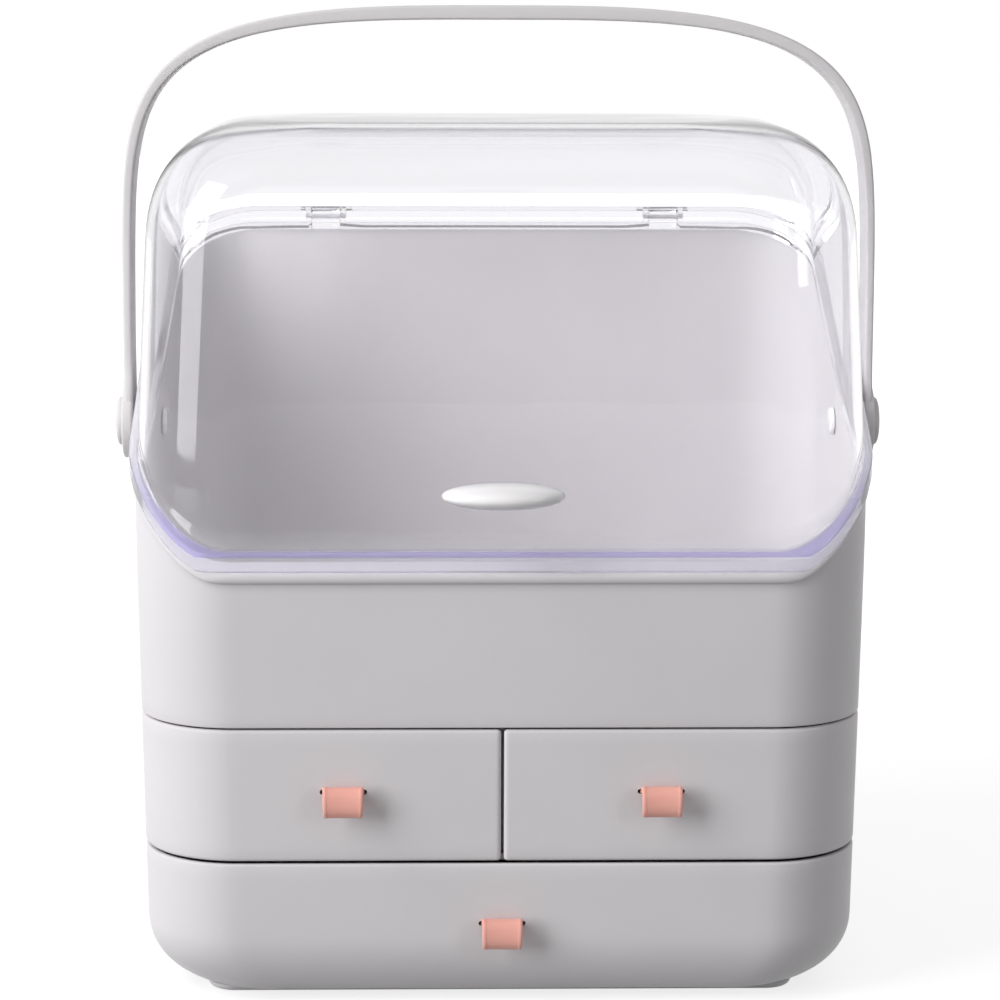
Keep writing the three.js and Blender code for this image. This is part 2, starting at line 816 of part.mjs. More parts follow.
function drawerFront(drawer) {
  const region = blockSolid(
    vector(drawer.from, -boxDepth, drawer.low),
    vector(drawer.to, wrapEnd, drawer.high),
  );
  return geometryOf(envelope(0)
    .subtract(envelope(frontThickness))
    .intersect(region)
    .subtract(tabSlot(drawer.tabX, drawer.tabHeight)));
}

function drawerTray(drawer) {
  const inset = frontThickness + fit;
  const beside = partitionThickness / 2 + drawerGap;
  const from = drawer.from === -farOut ? -farOut : beside;
  const to = drawer.to === farOut ? farOut : -beside;
  const back = sectionAt(drawer.trayLow, tierWall).back - trayBackGap;
  const outer = envelope(inset).intersect(blockSolid(
    vector(from, -boxDepth, drawer.trayLow),
    vector(to, back, drawer.trayHigh),
  ));
  const inner = envelope(inset + trayWall).intersect(blockSolid(
    vector(from + trayWall, -boxDepth, drawer.trayLow + trayWall),
    vector(to - trayWall, back - trayWall, boxHeight),
  ));
  return geometryOf(outer.subtract(inner).subtract(tabSlot(drawer.tabX, drawer.tabHeight)));
}

function pullTab(drawer) {
  const outline = tabOutline(frontFace(drawer.tabHeight), drawer.tabHeight);
  return sideExtrusion(outline, drawer.tabX - tabWidth / 2, drawer.tabX + tabWidth / 2);
}

// Handle: a flat strap in one arch, thicker at the top, with round pivot ends
const strapShares = [
  [1, 0],
  [1, 0.3],
  [0.997, 0.53],
  [0.979, 0.664],
  [0.936, 0.79],
  [0.85, 0.878],
  [0.7, 0.946],
  [0.45, 0.985],
  [0, 1],
];
function strapRings() {
  const mirrored = strapShares.slice(0, -1).toReversed().map(([across, rise]) => [-across, rise]);
  const outerLine = new THREE.CatmullRomCurve3([...strapShares, ...mirrored].map(
    ([across, rise]) => vector(across * strapReach, pivotY, pivotHeight + rise * handleRise)));
  return Array.from({ length: strapFacets + 1 }, (unused, step) => {
    const share = step / strapFacets;
    const outer = outerLine.getPointAt(share);
    const along = outerLine.getTangentAt(share);
    const inward = vector(along.z, 0, -along.x).negate();
    const middleShare = Math.sin(Math.PI * share) ** 2;
    const thickness = THREE.MathUtils.lerp(strapEndThickness, strapTopThickness, middleShare);
    return strapSection(outer, inward, thickness);
  });
}

// Chamfered rectangle across the strap
function strapSection(outer, inward, thickness) {
  const half = strapWidth / 2;
  return [
    [half - strapEdge, 0],
    [half, strapEdge],
    [half, thickness - strapEdge],
    [half - strapEdge, thickness],
    [strapEdge - half, thickness],
    [-half, thickness - strapEdge],
    [-half, strapEdge],
    [strapEdge - half, 0],
  ].map(([across, depth]) => outer.clone()
    .addScaledVector(inward, depth)
    .add(vector(0, across, 0)));
}

function handleStrap() {
  let solid = solidOf(loft(strapRings()));
  for (const [, sign] of sides) {
    const start = vector(sign * lobeStart, pivotY, pivotHeight);
    const end = vector(sign * lobeEnd, pivotY, pivotHeight);
    solid = solid.add(rodSolid(lobeRadius, start, end));
    const drillStart = vector(sign * (lobeStart - cutOverrun), pivotY, pivotHeight);
    const drillEnd = vector(sign * (lobeEnd + cutOverrun), pivotY, pivotHeight);
    solid = solid.subtract(rodSolid(pinRadius + fit, drillStart, drillEnd));
  }
  return geometryOf(solid);
}

function outward(sign) {
  return vector(sign, 0, 0);
}

function pivotPin(sign) {
  const start = pivotWall - binWall + fit;
  return rodGeometry(pinRadius, vector(sign * start, pivotY, pivotHeight),
    vector(sign * lobeEnd, pivotY, pivotHeight));
}

// Rounded edge of a cap, as shares of its radius and height
const capShares = [
  [1, 0.3],
  [0.88, 0.72],
  [0.5, 0.95],
  [0, 1],
];

function outerCap(sign) {
  return turnedGeometry([
    [0, 0],
    [outerCapRadius, 0],
    ...capShares.map(([outShare, upShare]) => [outerCapRadius * outShare, outerCapTall * upShare]),
  ], vector(sign * outerCapStart, pivotY, pivotHeight), outward(sign));
}

function innerCap(sign) {
  const wall = sectionAt(pivotHeight + innerCapRadius, binWall).side;
  return turnedGeometry([
    [0, 0],
    [innerCapRadius, 0],
    ...capShares.map(([outShare, upShare]) => [innerCapRadius * outShare, innerCapTall * upShare]),
  ], vector(sign * (wall - fit * 2), pivotY, pivotHeight), outward(-sign));
}

function pivotWasher(sign) {
  return turnedGeometry([
    [pinRadius + fit, 0],
    [washerRadius, 0],
    [washerRadius, washerThickness],
    [pinRadius + fit, washerThickness],
    [pinRadius + fit, 0],
  ], vector(sign * washerStart, pivotY, pivotHeight), outward(sign));
}

addPiece('upper_bin', topBin(), 'body');
addPiece('middle_tier', geometryOf(tier(middleTierBottom, middleTierTop)), 'body');
addPiece('lower_tier', lowerTier(), 'body');
addPiece('centre_partition', centrePartition(), 'inner');
addPiece('base_plate', footPlate(), 'body');
padPlaces().forEach((place, index) => addPiece(`foot_pad_${index + 1}`, footPad(place), 'rubber'));
footScrewPlaces().forEach((place, index) => addPiece(`base_screw_${index + 1}`, footScrew(place), 'steel'));
addPiece('lid_shell', lidShell(), 'clear');
addPiece('lid_knob', lidKnob(), 'white');
addPiece('knob_screw', knobScrew(), 'steel');
addPiece('handle_strap', handleStrap(), 'body');
for (const [side, sign] of sides) {
  addPiece(`hinge_bracket_${side}`, hingeBracket(sign), 'clear');
  addPiece(`hinge_pin_${side}`, hingePin(sign), 'steel');
  bracketScrewPlaces(sign).forEach((x, index) => addPiece(
    `hinge_screw_${side}_${index + 1}`, bracketScrew(x), 'steel'));
  addPiece(`pivot_washer_${side}`, pivotWasher(sign), 'white');
  addPiece(`pivot_pin_${side}`, pivotPin(sign), 'white');
  addPiece(`pivot_outer_cap_${side}`, outerCap(sign), 'body');
  addPiece(`pivot_inner_cap_${side}`, innerCap(sign), 'white');
}
for (const drawer of drawers) {
  addPiece(`${drawer.name}_front`, drawerFront(drawer), 'front');
  addPiece(`${drawer.name}_tray`, drawerTray(drawer), 'inner');
  addPiece(`${drawer.name}_tab`, pullTab(drawer), 'coral');
  addPiece(`${drawer.name}_tab_clip`, tabClip(drawer.tabX, drawer.tabHeight), 'white');
}

export default group;
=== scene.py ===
"""Looks of the dustproof makeup organizer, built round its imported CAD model.

The file is laid out as an add-on and is run as a script. Sizes are in metres.
X is the width, the front faces -Y, and the box stands on Z = 0.
"""

import math

import bmesh
import bpy
import numpy as np
from bpy.props import FloatProperty, FloatVectorProperty, PointerProperty
from mathutils import Matrix, Vector


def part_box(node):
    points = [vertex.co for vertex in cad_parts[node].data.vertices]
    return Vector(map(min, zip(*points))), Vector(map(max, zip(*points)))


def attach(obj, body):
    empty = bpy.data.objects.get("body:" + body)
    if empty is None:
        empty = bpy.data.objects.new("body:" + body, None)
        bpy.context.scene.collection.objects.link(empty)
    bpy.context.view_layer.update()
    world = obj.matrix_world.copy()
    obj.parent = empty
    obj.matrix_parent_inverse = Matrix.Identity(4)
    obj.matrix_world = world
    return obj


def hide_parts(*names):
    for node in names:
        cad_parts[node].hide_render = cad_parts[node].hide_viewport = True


bl_info = {
    "name": "Dustproof makeup organizer",
    "version": (1, 0, 0),
    "blender": (4, 5, 0),
    "location": "View3D > Sidebar > Organizer",
    "description": "Builds a makeup box with a clear lid, three drawers and a strap handle",
    "category": "Object",
}

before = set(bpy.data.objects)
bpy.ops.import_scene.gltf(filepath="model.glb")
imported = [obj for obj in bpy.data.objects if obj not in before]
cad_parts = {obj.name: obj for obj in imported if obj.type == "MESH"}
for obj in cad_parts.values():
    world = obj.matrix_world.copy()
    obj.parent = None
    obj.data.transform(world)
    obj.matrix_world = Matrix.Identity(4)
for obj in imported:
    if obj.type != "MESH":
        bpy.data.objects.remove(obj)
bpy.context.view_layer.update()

SIDES = ((-1, "left"), (1, "right"))
DRAWERS = ("left_drawer", "right_drawer", "bottom_drawer")
FIT = 0.0003  # Clearance between pieces that seat on each other
OVERRUN = 0.003  # How far a cutting tool passes the surface that it cuts
# Radii of the round holes and of the pins in them
SCREW_HOLE = 0.0016
KNOB_HOLE = 0.0018
HINGE_HOLE = 0.0015
HINGE_PIN = 0.0012
PIVOT_HOLE = 0.0043
PIVOT_PIN = 0.004


def size(name, description, default):
    return FloatProperty(name=name, description=description, default=default, min=0.0,
                         unit="LENGTH", precision=4)


def share(name, description, default, most=4.0):
    return FloatProperty(name=name, description=description, default=default, subtype="FACTOR",
                         min=0.0, max=most, precision=4)


def power(name, description, default):
    return FloatProperty(name=name, description=description, default=default, min=0.0,
                         unit="POWER")


def colour(name, description, default):
    return FloatVectorProperty(name=name, description=description, default=default, size=3,
                               subtype="COLOR", min=0.0, max=1.0)


class OrganizerBox(bpy.types.PropertyGroup):
    width: size("Width", "Width of the box at its belt", 0.2848)
    depth: size("Depth", "Depth of the box at its belt", 0.1912)
    height: size("Height", "Height of the closed lid", 0.3394)
    belt_height: size("Belt height", "Height at which the box is widest", 0.192)
    belt_blend: size("Belt blend", "Height over which the two slopes meet", 0.02)
    lower_draft: share("Lower draft", "How much the sides lean out below the belt", 0.0166)
    bin_draft: share("Bin draft", "How much the bin leans in above the belt", 0.015)
    lid_draft: share("Lid draft", "How much the lid leans in above the belt", 0.05)
    corner: size("Corner radius", "Radius of the upright corners", 0.038)
    top_corner: size("Top corner radius", "Radius of the corners of the flat top", 0.034)
    bottom_rise: size("Bottom rise", "Height of the rounding at the bottom", 0.03)
    bottom_side_run: size("Bottom side run", "How far it runs in at the sides", 0.032)
    bottom_front_run: size("Bottom front run", "How far it runs in at the front and back", 0.026)
    bottom_cut: size("Bottom cut", "Part of the rounding that the flat floor cuts off", 0.005)
    top_rise: size("Top rise", "Height of the rounding of the lid", 0.046)
    top_side_run: size("Top side run", "How far the lid's rounding runs in at the sides", 0.044)
    top_front_run: size("Top front run", "How far it runs in at the front", 0.044)
    top_back_run: size("Top back run", "How far it runs in at the back", 0.054)
    top_power: share("Top power", "Fullness of the lid's rounding, 2 for an ellipse", 2.45)
    foot_height: size("Foot height", "Height of the floor of the box", 0.003)
    rim_front: size("Rim at the front", "Height of the bin's rim at the front", 0.172)
    rim_back: size("Rim at the back", "Height of the bin's rim at the back", 0.2912)
    knee_rise: size("Knee rise", "Extra rise of the rim round the front corners", 0.0158)
    knee_depth: size("Knee depth", "Depth over which that rise happens", 0.031)
    low_seam: size("Low seam", "Height of the seam over the bottom drawer", 0.0579)
    high_seam: size("High seam", "Height of the seam under the top bin", 0.1111)
    wall: size("Bin wall", "Wall thickness of the top bin", 0.0026)
    bead_tall: size("Bead height", "Height of the bead along the rim", 0.0046)
    bead_proud: size("Bead reach", "How far the bead stands out", 0.0016)
    tier_wall: size("Tier wall", "Wall and floor thickness of the two tiers", 0.0024)


class OrganizerLid(bpy.types.PropertyGroup):
    wall: size("Lid wall", "Wall thickness of the clear lid", 0.0024)
    flange_tall: size("Flange height", "Height of the flange along the lid's edge", 0.0074)
    flange_proud: size("Flange reach", "How far the flange stands out", 0.0024)
    knob_width: size("Knob width", "Width of the knob", 0.0466)
    knob_reach: size("Knob reach", "How far the knob stands out", 0.015)
    knob_tall: size("Knob height", "Height of the knob", 0.01)
    hinge_offset: size("Hinge offset", "Distance of each hinge from the middle", 0.073)
    knuckle_width: size("Knuckle width", "Width of the knuckles moulded on the lid", 0.0122)
    knuckle_radius: size("Knuckle radius", "Radius of the knuckles and ears", 0.003)
    ear_thickness: size("Ear thickness", "Thickness of each ear of a bracket", 0.0022)
    bracket_width: size("Bracket width", "Width of the hinge bracket", 0.022)
    bracket_tall: size("Bracket height", "Height of the bracket's plate", 0.027)
    bracket_thickness: size("Bracket thickness", "Thickness of the bracket's plate", 0.0034)


class OrganizerDrawers(bpy.types.PropertyGroup):
    gap: size("Drawer gap", "Clearance between two drawer fronts", 0.0011)
    front_thickness: size("Front thickness", "Thickness of the drawer fronts", 0.003)
    wrap_depth: size("Wrap depth", "How far a front reaches round the corner", 0.042)
    edge: size("Edge radius", "Rounding of the edges of a front", 0.0015)
    tab_width: size("Tab width", "Width of a pull tab", 0.016)
    tab_thickness: size("Tab thickness", "Thickness of a pull tab", 0.0016)
    tab_reach: size("Tab reach", "How far the curl stands out", 0.009)
    tab_tall: size("Tab height", "Height of the curl", 0.0098)


class OrganizerHandle(bpy.types.PropertyGroup):
    strap_width: size("Strap width", "Width of the strap, front to back", 0.02)
    end_thickness: size("End thickness", "Thickness of the strap at its ends", 0.0034)
    top_thickness: size("Top thickness", "Thickness of the strap in the middle", 0.0056)
    edge: size("Strap edge", "Rounding of the strap's edges", 0.0011)
    side_power: share("Side power", "How straight the sides of the arch are", 3.2)
    top_power: share("Top power", "How flat the top of the arch is", 7.0, 12.0)
    flare: size("Flare", "How much the strap widens above each pivot", 0.002)


class OrganizerColours(bpy.types.PropertyGroup):
    body: colour("Body", "Bin, tiers and foot", (0.69, 0.67, 0.69))
    front: colour("Drawer fronts", "Faces of the drawers", (0.70, 0.68, 0.70))
    handle: colour("Handle", "Strap and its caps", (0.70, 0.68, 0.69))
    tray: colour("Trays", "Inside of the drawers", (0.62, 0.60, 0.61))
    clear: colour("Clear plastic", "Lid and hinge brackets", (0.965, 0.96, 0.975))
    # The edge colour is painted shade for clear plastic seen edge on
    edge: colour("Painted edge shade", "Clear plastic where it is seen edge on", (0.60, 0.595, 0.65))
    # The flange colour is a painted reflection, laid along the top of the lid's flange
    flange: colour("Painted flange reflection", "Clear plastic at the top of the flange", (0.50, 0.46, 0.80))
    milky: colour("Milky tint", "Clear plastic over the rest of the flange", (0.80, 0.79, 0.83))
    tab: colour("Pull tabs", "Curled tabs on the drawers", (0.88, 0.44, 0.365))
    white: colour("White parts", "Knob, clips, hinge pins and pivots", (0.93, 0.92, 0.93))
    rubber: colour("Foot pads", "Pads under the foot plate", (0.42, 0.41, 0.42))
    steel: colour("Steel", "Screws", (0.62, 0.62, 0.63))


class OrganizerStage(bpy.types.PropertyGroup):
    floor: colour("Floor", "Colour of the floor", (0.3, 0.3, 0.3))
    key_power: power("Key light", "Power of the large light at the left", 56.0)
    side_power: power("Side light", "Power of the small light at the right", 4.0)
    fill: share("Fill", "Strength of the even light from all round", 0.25)
    lens: FloatProperty(name="Lens", description="Focal length of the camera in millimetres",
                        default=110.9, min=10.0)


CORNER_STEPS = 20
# Columns of points round the back of a tier and round a drawer front
TIER_COLUMNS = 90
FRONT_COLUMNS = 110
# Places of the extra columns between two corners
FLAT_SHARES = (0.015, 0.08, 0.3, 0.5, 0.7, 0.92, 0.985)
NEAR = 1e-6  # Points closer than this count as one


def quarter_turns(steps):
    """Quarter and angle of each point on the four rounded corners of a ring."""
    quarter = np.repeat(np.arange(4), steps + 1)
    step = np.tile(np.arange(steps + 1), 4)
    return quarter, (quarter - 1 + step / steps) * math.pi / 2


def run_off(rise_share, fullness):
    """Share of a rounding's run that is used up at a share of its rise."""
    reached = np.clip(rise_share, 0, 1)
    return 1 - (1 - reached**fullness) ** (1 / fullness)


def ring_columns():
    """Columns round the box: each is a place between two points on the four corners."""
    per_corner = CORNER_STEPS + 1
    columns = []
    for quarter in range(4):
        start = quarter * per_corner
        columns += [(spot, spot, 0.0) for spot in range(start, start + per_corner)]
        columns += [(start + CORNER_STEPS, (quarter + 1) % 4 * per_corner, flat)
                    for flat in FLAT_SHARES]
    first, second, mix = zip(*columns)
    return np.array(first), np.array(second), np.array(mix)


class BoxForm:
    """The outer surface of the closed box, and any surface parallel to it."""

    def __init__(self, box):
        self.box = box
        self.floor = box.foot_height
        self.bottom_centre = box.foot_height - box.bottom_cut + box.bottom_rise
        self.top_centre = box.height - box.top_rise
        self.front = -box.depth / 2
        quarter, angle = quarter_turns(CORNER_STEPS)
        self.turn = np.cos(angle), np.sin(angle)
        self.side_sign = np.where(quarter < 2, 1.0, -1.0)
        self.is_back = (quarter == 1) | (quarter == 2)
        self.columns = ring_columns()
        self.count = len(self.columns[0])

    def section(self, height, inset, draft):
        """Half width, reach to the front and to the back, and corner radius at a height."""
        box = self.box
        bottom = run_off((self.bottom_centre - height) / (box.bottom_rise - inset), 2)
        top_share = np.clip((height - self.top_centre) / (box.top_rise - inset), 0, 1)
        top = run_off(top_share, box.top_power)
        above = height - box.belt_height
        soft = (above + np.hypot(above, box.belt_blend)) / 2
        lean = box.lower_draft * above - (box.lower_draft + draft) * soft - inset
        side = (box.width / 2 + lean - bottom * (box.bottom_side_run - inset)
                - top * (box.top_side_run - inset))
        ends = box.depth / 2 + lean - bottom * (box.bottom_front_run - inset)
        front = ends - top * (box.top_front_run - inset)
        back = ends - top * (box.top_back_run - inset)
        corner = box.corner - inset + top_share**2 * (box.top_corner - box.corner)
        return side, front, back, corner

    def face(self, height, draft, inset=0.0):
        """Y of the front surface."""
        return -float(self.section(height, inset, draft)[1])

    def back(self, height, draft, inset=0.0):
        """Y of the back surface."""
        return float(self.section(height, inset, draft)[2])

    def corner_points(self, which, height, inset, draft):
        side, front, back, corner = self.section(height, inset, draft)
        is_back = self.is_back[which]
        reach = np.where(is_back, back, front) - corner
        x = self.side_sign[which] * (side - corner) + corner * self.turn[0][which]
        y = np.where(is_back, reach, -reach) + corner * self.turn[1][which]
        return x, y

    def ring(self, height, inset=0.0, draft=None):
        """Points round the box at the given height of each column."""
        draft = self.box.bin_draft if draft is None else draft
        height = np.broadcast_to(np.asarray(height, float), (self.count,))
        first, second, mix = self.columns
        x0, y0 = self.corner_points(first, height, inset, draft)
        x1, y1 = self.corner_points(second, height, inset, draft)
        return np.stack([x0 + (x1 - x0) * mix, y0 + (y1 - y0) * mix, height], axis=1)

    def seam_height(self, depth):
        """Height of the slanted seam between the bin and the lid."""
        box = self.box
        behind = np.maximum(depth - self.front, 0)
        knee = 1 - (1 - np.minimum(behind / box.knee_depth, 1)) ** 2
        slope = box.rim_back - box.rim_front - box.knee_rise
        return box.rim_front + slope * behind / box.depth + box.knee_rise * knee

    def seam_ring(self, lift, inset=0.0, draft=None):
        """Ring that follows the seam; the height is found by repeated steps."""
        height = np.full(self.count, self.box.rim_front)
        for _ in range(12):
            points = self.ring(height, inset, draft)
            height = self.seam_height(points[:, 1]) + lift
        return self.ring(height, inset, draft)

    def lid_rings(self, foot, inset, wall_steps=10, top_steps=18):
        """Each column runs up its wall from the foot ring and over the rounded top."""
        box = self.box
        rise = box.top_rise - inset
        starts = np.maximum(self.top_centre, foot[:, 2] + 0.003)
        start_share = np.clip((starts - self.top_centre) / rise, 0, 1)
        start_angle = np.arcsin(start_share ** (box.top_power / 2))
        heights = [foot[:, 2] + (starts - foot[:, 2]) * step / wall_steps
                   for step in range(1, wall_steps)]
        for step in range(top_steps + 1):
            angle = start_angle + (math.pi / 2 - start_angle) * step / top_steps
            heights.append(self.top_centre + rise * np.sin(angle) ** (2 / box.top_power))
        return [self.ring(height, inset, box.lid_draft) for height in heights]

    def path(self, height, inset, depth, at_back, count, left=None, right=None):
        """Evenly spread points from side to side round the front or the back at one height,
        cut off where the surface reaches a depth, and at a left or right place if given."""
        spots = np.arange(4 * (CORNER_STEPS + 1)).reshape(4, -1)
        order = np.concatenate([spots[1], spots[2]] if at_back else [spots[3], spots[0]])
        x, y = self.corner_points(order, np.full(len(order), height), inset, self.box.bin_draft)
        x = np.pad(x, 1, mode="edge")
        y = np.pad(y, 1, constant_values=depth)
        kept = np.flatnonzero(y > depth if at_back else y < depth)

        def crossing(inside, outside):
            mix = (depth - y[inside]) / (y[outside] - y[inside])
            return x[inside] + (x[outside] - x[inside]) * mix, depth

        line = np.array([crossing(kept[0], kept[0] - 1), *zip(x[kept], y[kept]),
                         crossing(kept[-1], kept[-1] + 1)])
        return np.column_stack([resampled(clipped_line(line, left, right), count),
                                np.full(count, height)])


def clipped_line(line, left, right):
    """Part of a line that rises in X between two places, where these are given."""
    rising = np.maximum.accumulate(line[:, 0] + np.arange(len(line)) * 1e-12)
    depths = line[:, 1]
    if left is not None:
        line = np.vstack([(left, np.interp(left, rising, depths)), line[line[:, 0] > left + NEAR]])
    if right is not None:
        line = np.vstack([line[line[:, 0] < right - NEAR],
                          (right, np.interp(right, rising, depths))])
    return line


def resampled(line, count):
    """The same line with a fixed count of points, closer together where it turns."""
    steps = np.diff(line, axis=0)
    lengths = np.hypot(steps[:, 0], steps[:, 1])
    steps, lengths = steps[lengths > NEAR / 10], lengths[lengths > NEAR / 10]
    kept = np.vstack([line[0], line[0] + np.cumsum(steps, axis=0)])
    heading = np.unwrap(np.arctan2(steps[:, 1], steps[:, 0]))
    turning = (np.abs(np.diff(heading, append=heading[-1]))
               + np.abs(np.diff(heading, prepend=heading[0])))
    along = np.concatenate([[0], np.cumsum(lengths + 0.02 * turning)])
    wanted = np.linspace(0, along[-1], count)
    return np.column_stack([np.interp(wanted, along, kept[:, k]) for k in range(2)])


def show(name, mesh):
    made = bpy.data.objects.new(name, mesh)
    bpy.context.scene.collection.objects.link(made)
    return made


def add_piece(name, points, faces):
    """Closed mesh with its faces pointing outwards, as an object at the origin."""
    mesh = bpy.data.meshes.new(name)
    mesh.from_pydata([tuple(map(float, point)) for point in points], [], faces)
    mesh.update()
    return face_outwards(show(name, mesh))


def face_outwards(piece):
    shape = bmesh.new()
    shape.from_mesh(piece.data)
    bmesh.ops.remove_doubles(shape, verts=shape.verts, dist=1e-7)
    bmesh.ops.recalc_face_normals(shape, faces=shape.faces)
    shape.to_mesh(piece.data)
    shape.free()
    return piece


def smooth(piece, degrees=32):
    piece.data.shade_smooth()
    piece.data.set_sharp_from_angle(angle=math.radians(degrees))
    return piece


def plain(piece):
    """Turn the result of a piece's modifiers into its own mesh."""
    graph = bpy.context.evaluated_depsgraph_get()
    graph.update()
    made = bpy.data.meshes.new_from_object(piece.evaluated_get(graph),
                                           preserve_all_data_layers=True, depsgraph=graph)
    old = piece.data
    piece.modifiers.clear()
    piece.data = made
    made.name = piece.name
    bpy.data.meshes.remove(old)
    return piece


def bevel(piece, width, segments=3, degrees=40):
    edges = piece.modifiers.new("edges", "BEVEL")
    edges.width = width
    edges.segments = segments
    edges.limit_method = "ANGLE"
    edges.angle_limit = math.radians(degrees)
    return plain(piece)


def combine(piece, operation, *tools):
    """Join other solids to a piece or cut them from it, and remove them."""
    for tool in tools:
        change = piece.modifiers.new("join", "BOOLEAN")
        change.operation = operation
        change.solver = "EXACT"
        change.object = tool
        plain(piece)
        spent = tool.data
        bpy.data.objects.remove(tool)
        bpy.data.meshes.remove(spent)
    return piece


def join(piece, *tools):
    return combine(piece, "UNION", *tools)


def drill(piece, radius, start, end, steps=48):
    """Cut a round hole from one place to another."""
    return combine(piece, "DIFFERENCE", rod("hole", radius, start, end, steps))


def loft(name, rings):
    """Closed surface through rings of equal length, with flat faces at its ends."""
    count = len(rings[0])
    last = (len(rings) - 1) * count
    faces = []
    for low in range(0, last, count):
        for column in range(count):
            after = (column + 1) % count
            faces.append((low + column, low + after, low + count + after, low + count + column))
    faces += [tuple(range(count)), tuple(range(last, last + count))]
    return add_piece(name, np.concatenate(rings), faces)


def panel(name, outer, inner):
    """Closed curved panel between two grids of points, each rows by columns by 3."""
    rows, columns = outer.shape[:2]
    total = rows * columns
    spots = np.arange(total).reshape(rows, columns)
    quads = np.stack([spots[:-1, :-1], spots[:-1, 1:], spots[1:, 1:], spots[1:, :-1]], axis=2)
    faces = []
    for quad in quads.reshape(-1, 4).tolist():
        faces += [tuple(quad), tuple(total + corner for corner in reversed(quad))]
    rim = [*spots[0].tolist(), *spots[1:, -1].tolist(), *spots[-1, -2::-1].tolist(),
           *spots[-2:0:-1, 0].tolist()]
    for here, after in zip(rim, rim[1:] + rim[:1]):
        faces.append((here, total + here, total + after, after))
    return add_piece(name, np.concatenate([outer.reshape(-1, 3), inner.reshape(-1, 3)]), faces)


def block(name, low, high):
    points = [(x, y, z) for x in (low[0], high[0]) for y in (low[1], high[1])
              for z in (low[2], high[2])]
    faces = [(0, 1, 3, 2), (4, 6, 7, 5), (0, 4, 5, 1), (2, 3, 7, 6), (0, 2, 6, 4), (1, 5, 7, 3)]
    return add_piece(name, points, faces)


def turned(name, profile, start, axis, steps=64):
    """Profile of (radius, distance) pairs spun round an axis; a closed profile makes a ring."""
    axis = Vector(axis).normalized()
    across = axis.orthogonal().normalized()
    third = axis.cross(across)
    closed = profile[0] == profile[-1]
    points, rows = [], []
    for radius, distance in profile[:-1] if closed else profile:
        centre = Vector(start) + axis * distance
        if radius < 1e-9:
            rows.append([len(points)] * steps)
            points.append(centre)
            continue
        rows.append(list(range(len(points), len(points) + steps)))
        for step in range(steps):
            angle = 2 * math.pi * step / steps
            points.append(centre + radius * (math.cos(angle) * across + math.sin(angle) * third))
    pairs = list(zip(rows, rows[1:] + rows[:1]))
    faces = []
    for low, high in pairs if closed else pairs[:-1]:
        for step in range(steps):
            after = (step + 1) % steps
            corners = list(dict.fromkeys([low[step], low[after], high[after], high[step]]))
            if len(corners) > 2:
                faces.append(corners)
    if not closed:
        faces += [row for row in (rows[0], rows[-1]) if len(set(row)) > 1]
    return add_piece(name, points, faces)


def rod(name, radius, start, end, steps=48):
    start, end = Vector(start), Vector(end)
    return turned(name, [(radius, 0), (radius, (end - start).length)], start, end - start, steps)


def rounded_profile(radius, tall, edge, steps=5):
    """Half outline of a disc with rounded edges, from its axis to its axis."""
    turns = [math.pi / 2 * step / steps for step in range(steps + 1)]
    low = [(radius - edge * (1 - math.sin(turn)), edge * (1 - math.cos(turn))) for turn in turns]
    high = [(out, tall - rise) for out, rise in reversed(low)]
    return [(0, 0), *low, *high, (0, tall)]


def edge_steps(radius, steps=3):
    """Pairs of (rise, inset) that round off an edge, from its flat to its wall."""
    return [(radius * (1 - math.cos(math.pi / 2 * step / steps)),
             radius * (1 - math.sin(math.pi / 2 * step / steps))) for step in range(steps + 1)]


def from_node(name, node):
    """Merged copy of a CAD node, ready for finishing."""
    made = show(name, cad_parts[node].data.copy())
    made.data.materials.clear()
    shape = bmesh.new()
    shape.from_mesh(made.data)
    bmesh.ops.remove_doubles(shape, verts=shape.verts, dist=2e-6)
    bmesh.ops.dissolve_limit(shape, angle_limit=math.radians(0.5), verts=shape.verts,
                             edges=shape.edges)
    shape.to_mesh(made.data)
    shape.free()
    return made


def finish(piece, body, slot, *nodes):
    """Give a piece its material and its body, and hide the CAD nodes that it stands for."""
    piece.data.materials.clear()
    piece.data.materials.append(material_for(slot.removeprefix("drawer_")))
    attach(piece, body)
    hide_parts(*nodes)


def middle_of(node):
    low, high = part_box(node)
    return (low + high) / 2


def add_node(tree, kind, inputs=None, **settings):
    """Node with its settings, and its inputs linked or set by name or number."""
    made = tree.nodes.new(kind)
    for key, value in settings.items():
        setattr(made, key, value)
    for key, value in (inputs or {}).items():
        if isinstance(value, bpy.types.NodeSocket):
            tree.links.new(value, made.inputs[key])
        else:
            made.inputs[key].default_value = value
    return made


def maths(tree, operation, *values):
    return add_node(tree, "ShaderNodeMath", dict(enumerate(values)), operation=operation).outputs[0]


def vector_maths(tree, operation, *values):
    return add_node(tree, "ShaderNodeVectorMath", dict(enumerate(values)),
                    operation=operation).outputs


def combined(tree, x=0.0, y=0.0, z=0.0):
    return add_node(tree, "ShaderNodeCombineXYZ", {0: x, 1: y, 2: z}).outputs[0]


def separated(tree, vector):
    return add_node(tree, "ShaderNodeSeparateXYZ", {0: vector}).outputs


def new_material(name):
    material = bpy.data.materials.new(name)
    material.use_nodes = True
    tree = material.node_tree
    tree.nodes.clear()
    output = tree.nodes.new("ShaderNodeOutputMaterial")
    place = tree.nodes.new("ShaderNodeTexCoord").outputs["Object"]
    return material, tree, output, place


def noise(tree, place, scale, detail=2.0, roughness=0.5):
    return add_node(tree, "ShaderNodeTexNoise", {"Vector": place, "Scale": scale, "Detail": detail,
                                                 "Roughness": roughness}).outputs["Fac"]


def between(tree, value, low, high, low_from=0.3, high_from=0.7):
    """Value moved from one range to another, and kept inside it."""
    return add_node(tree, "ShaderNodeMapRange",
                    {"Value": value, "From Min": low_from, "From Max": high_from,
                     "To Min": low, "To Max": high}).outputs["Result"]


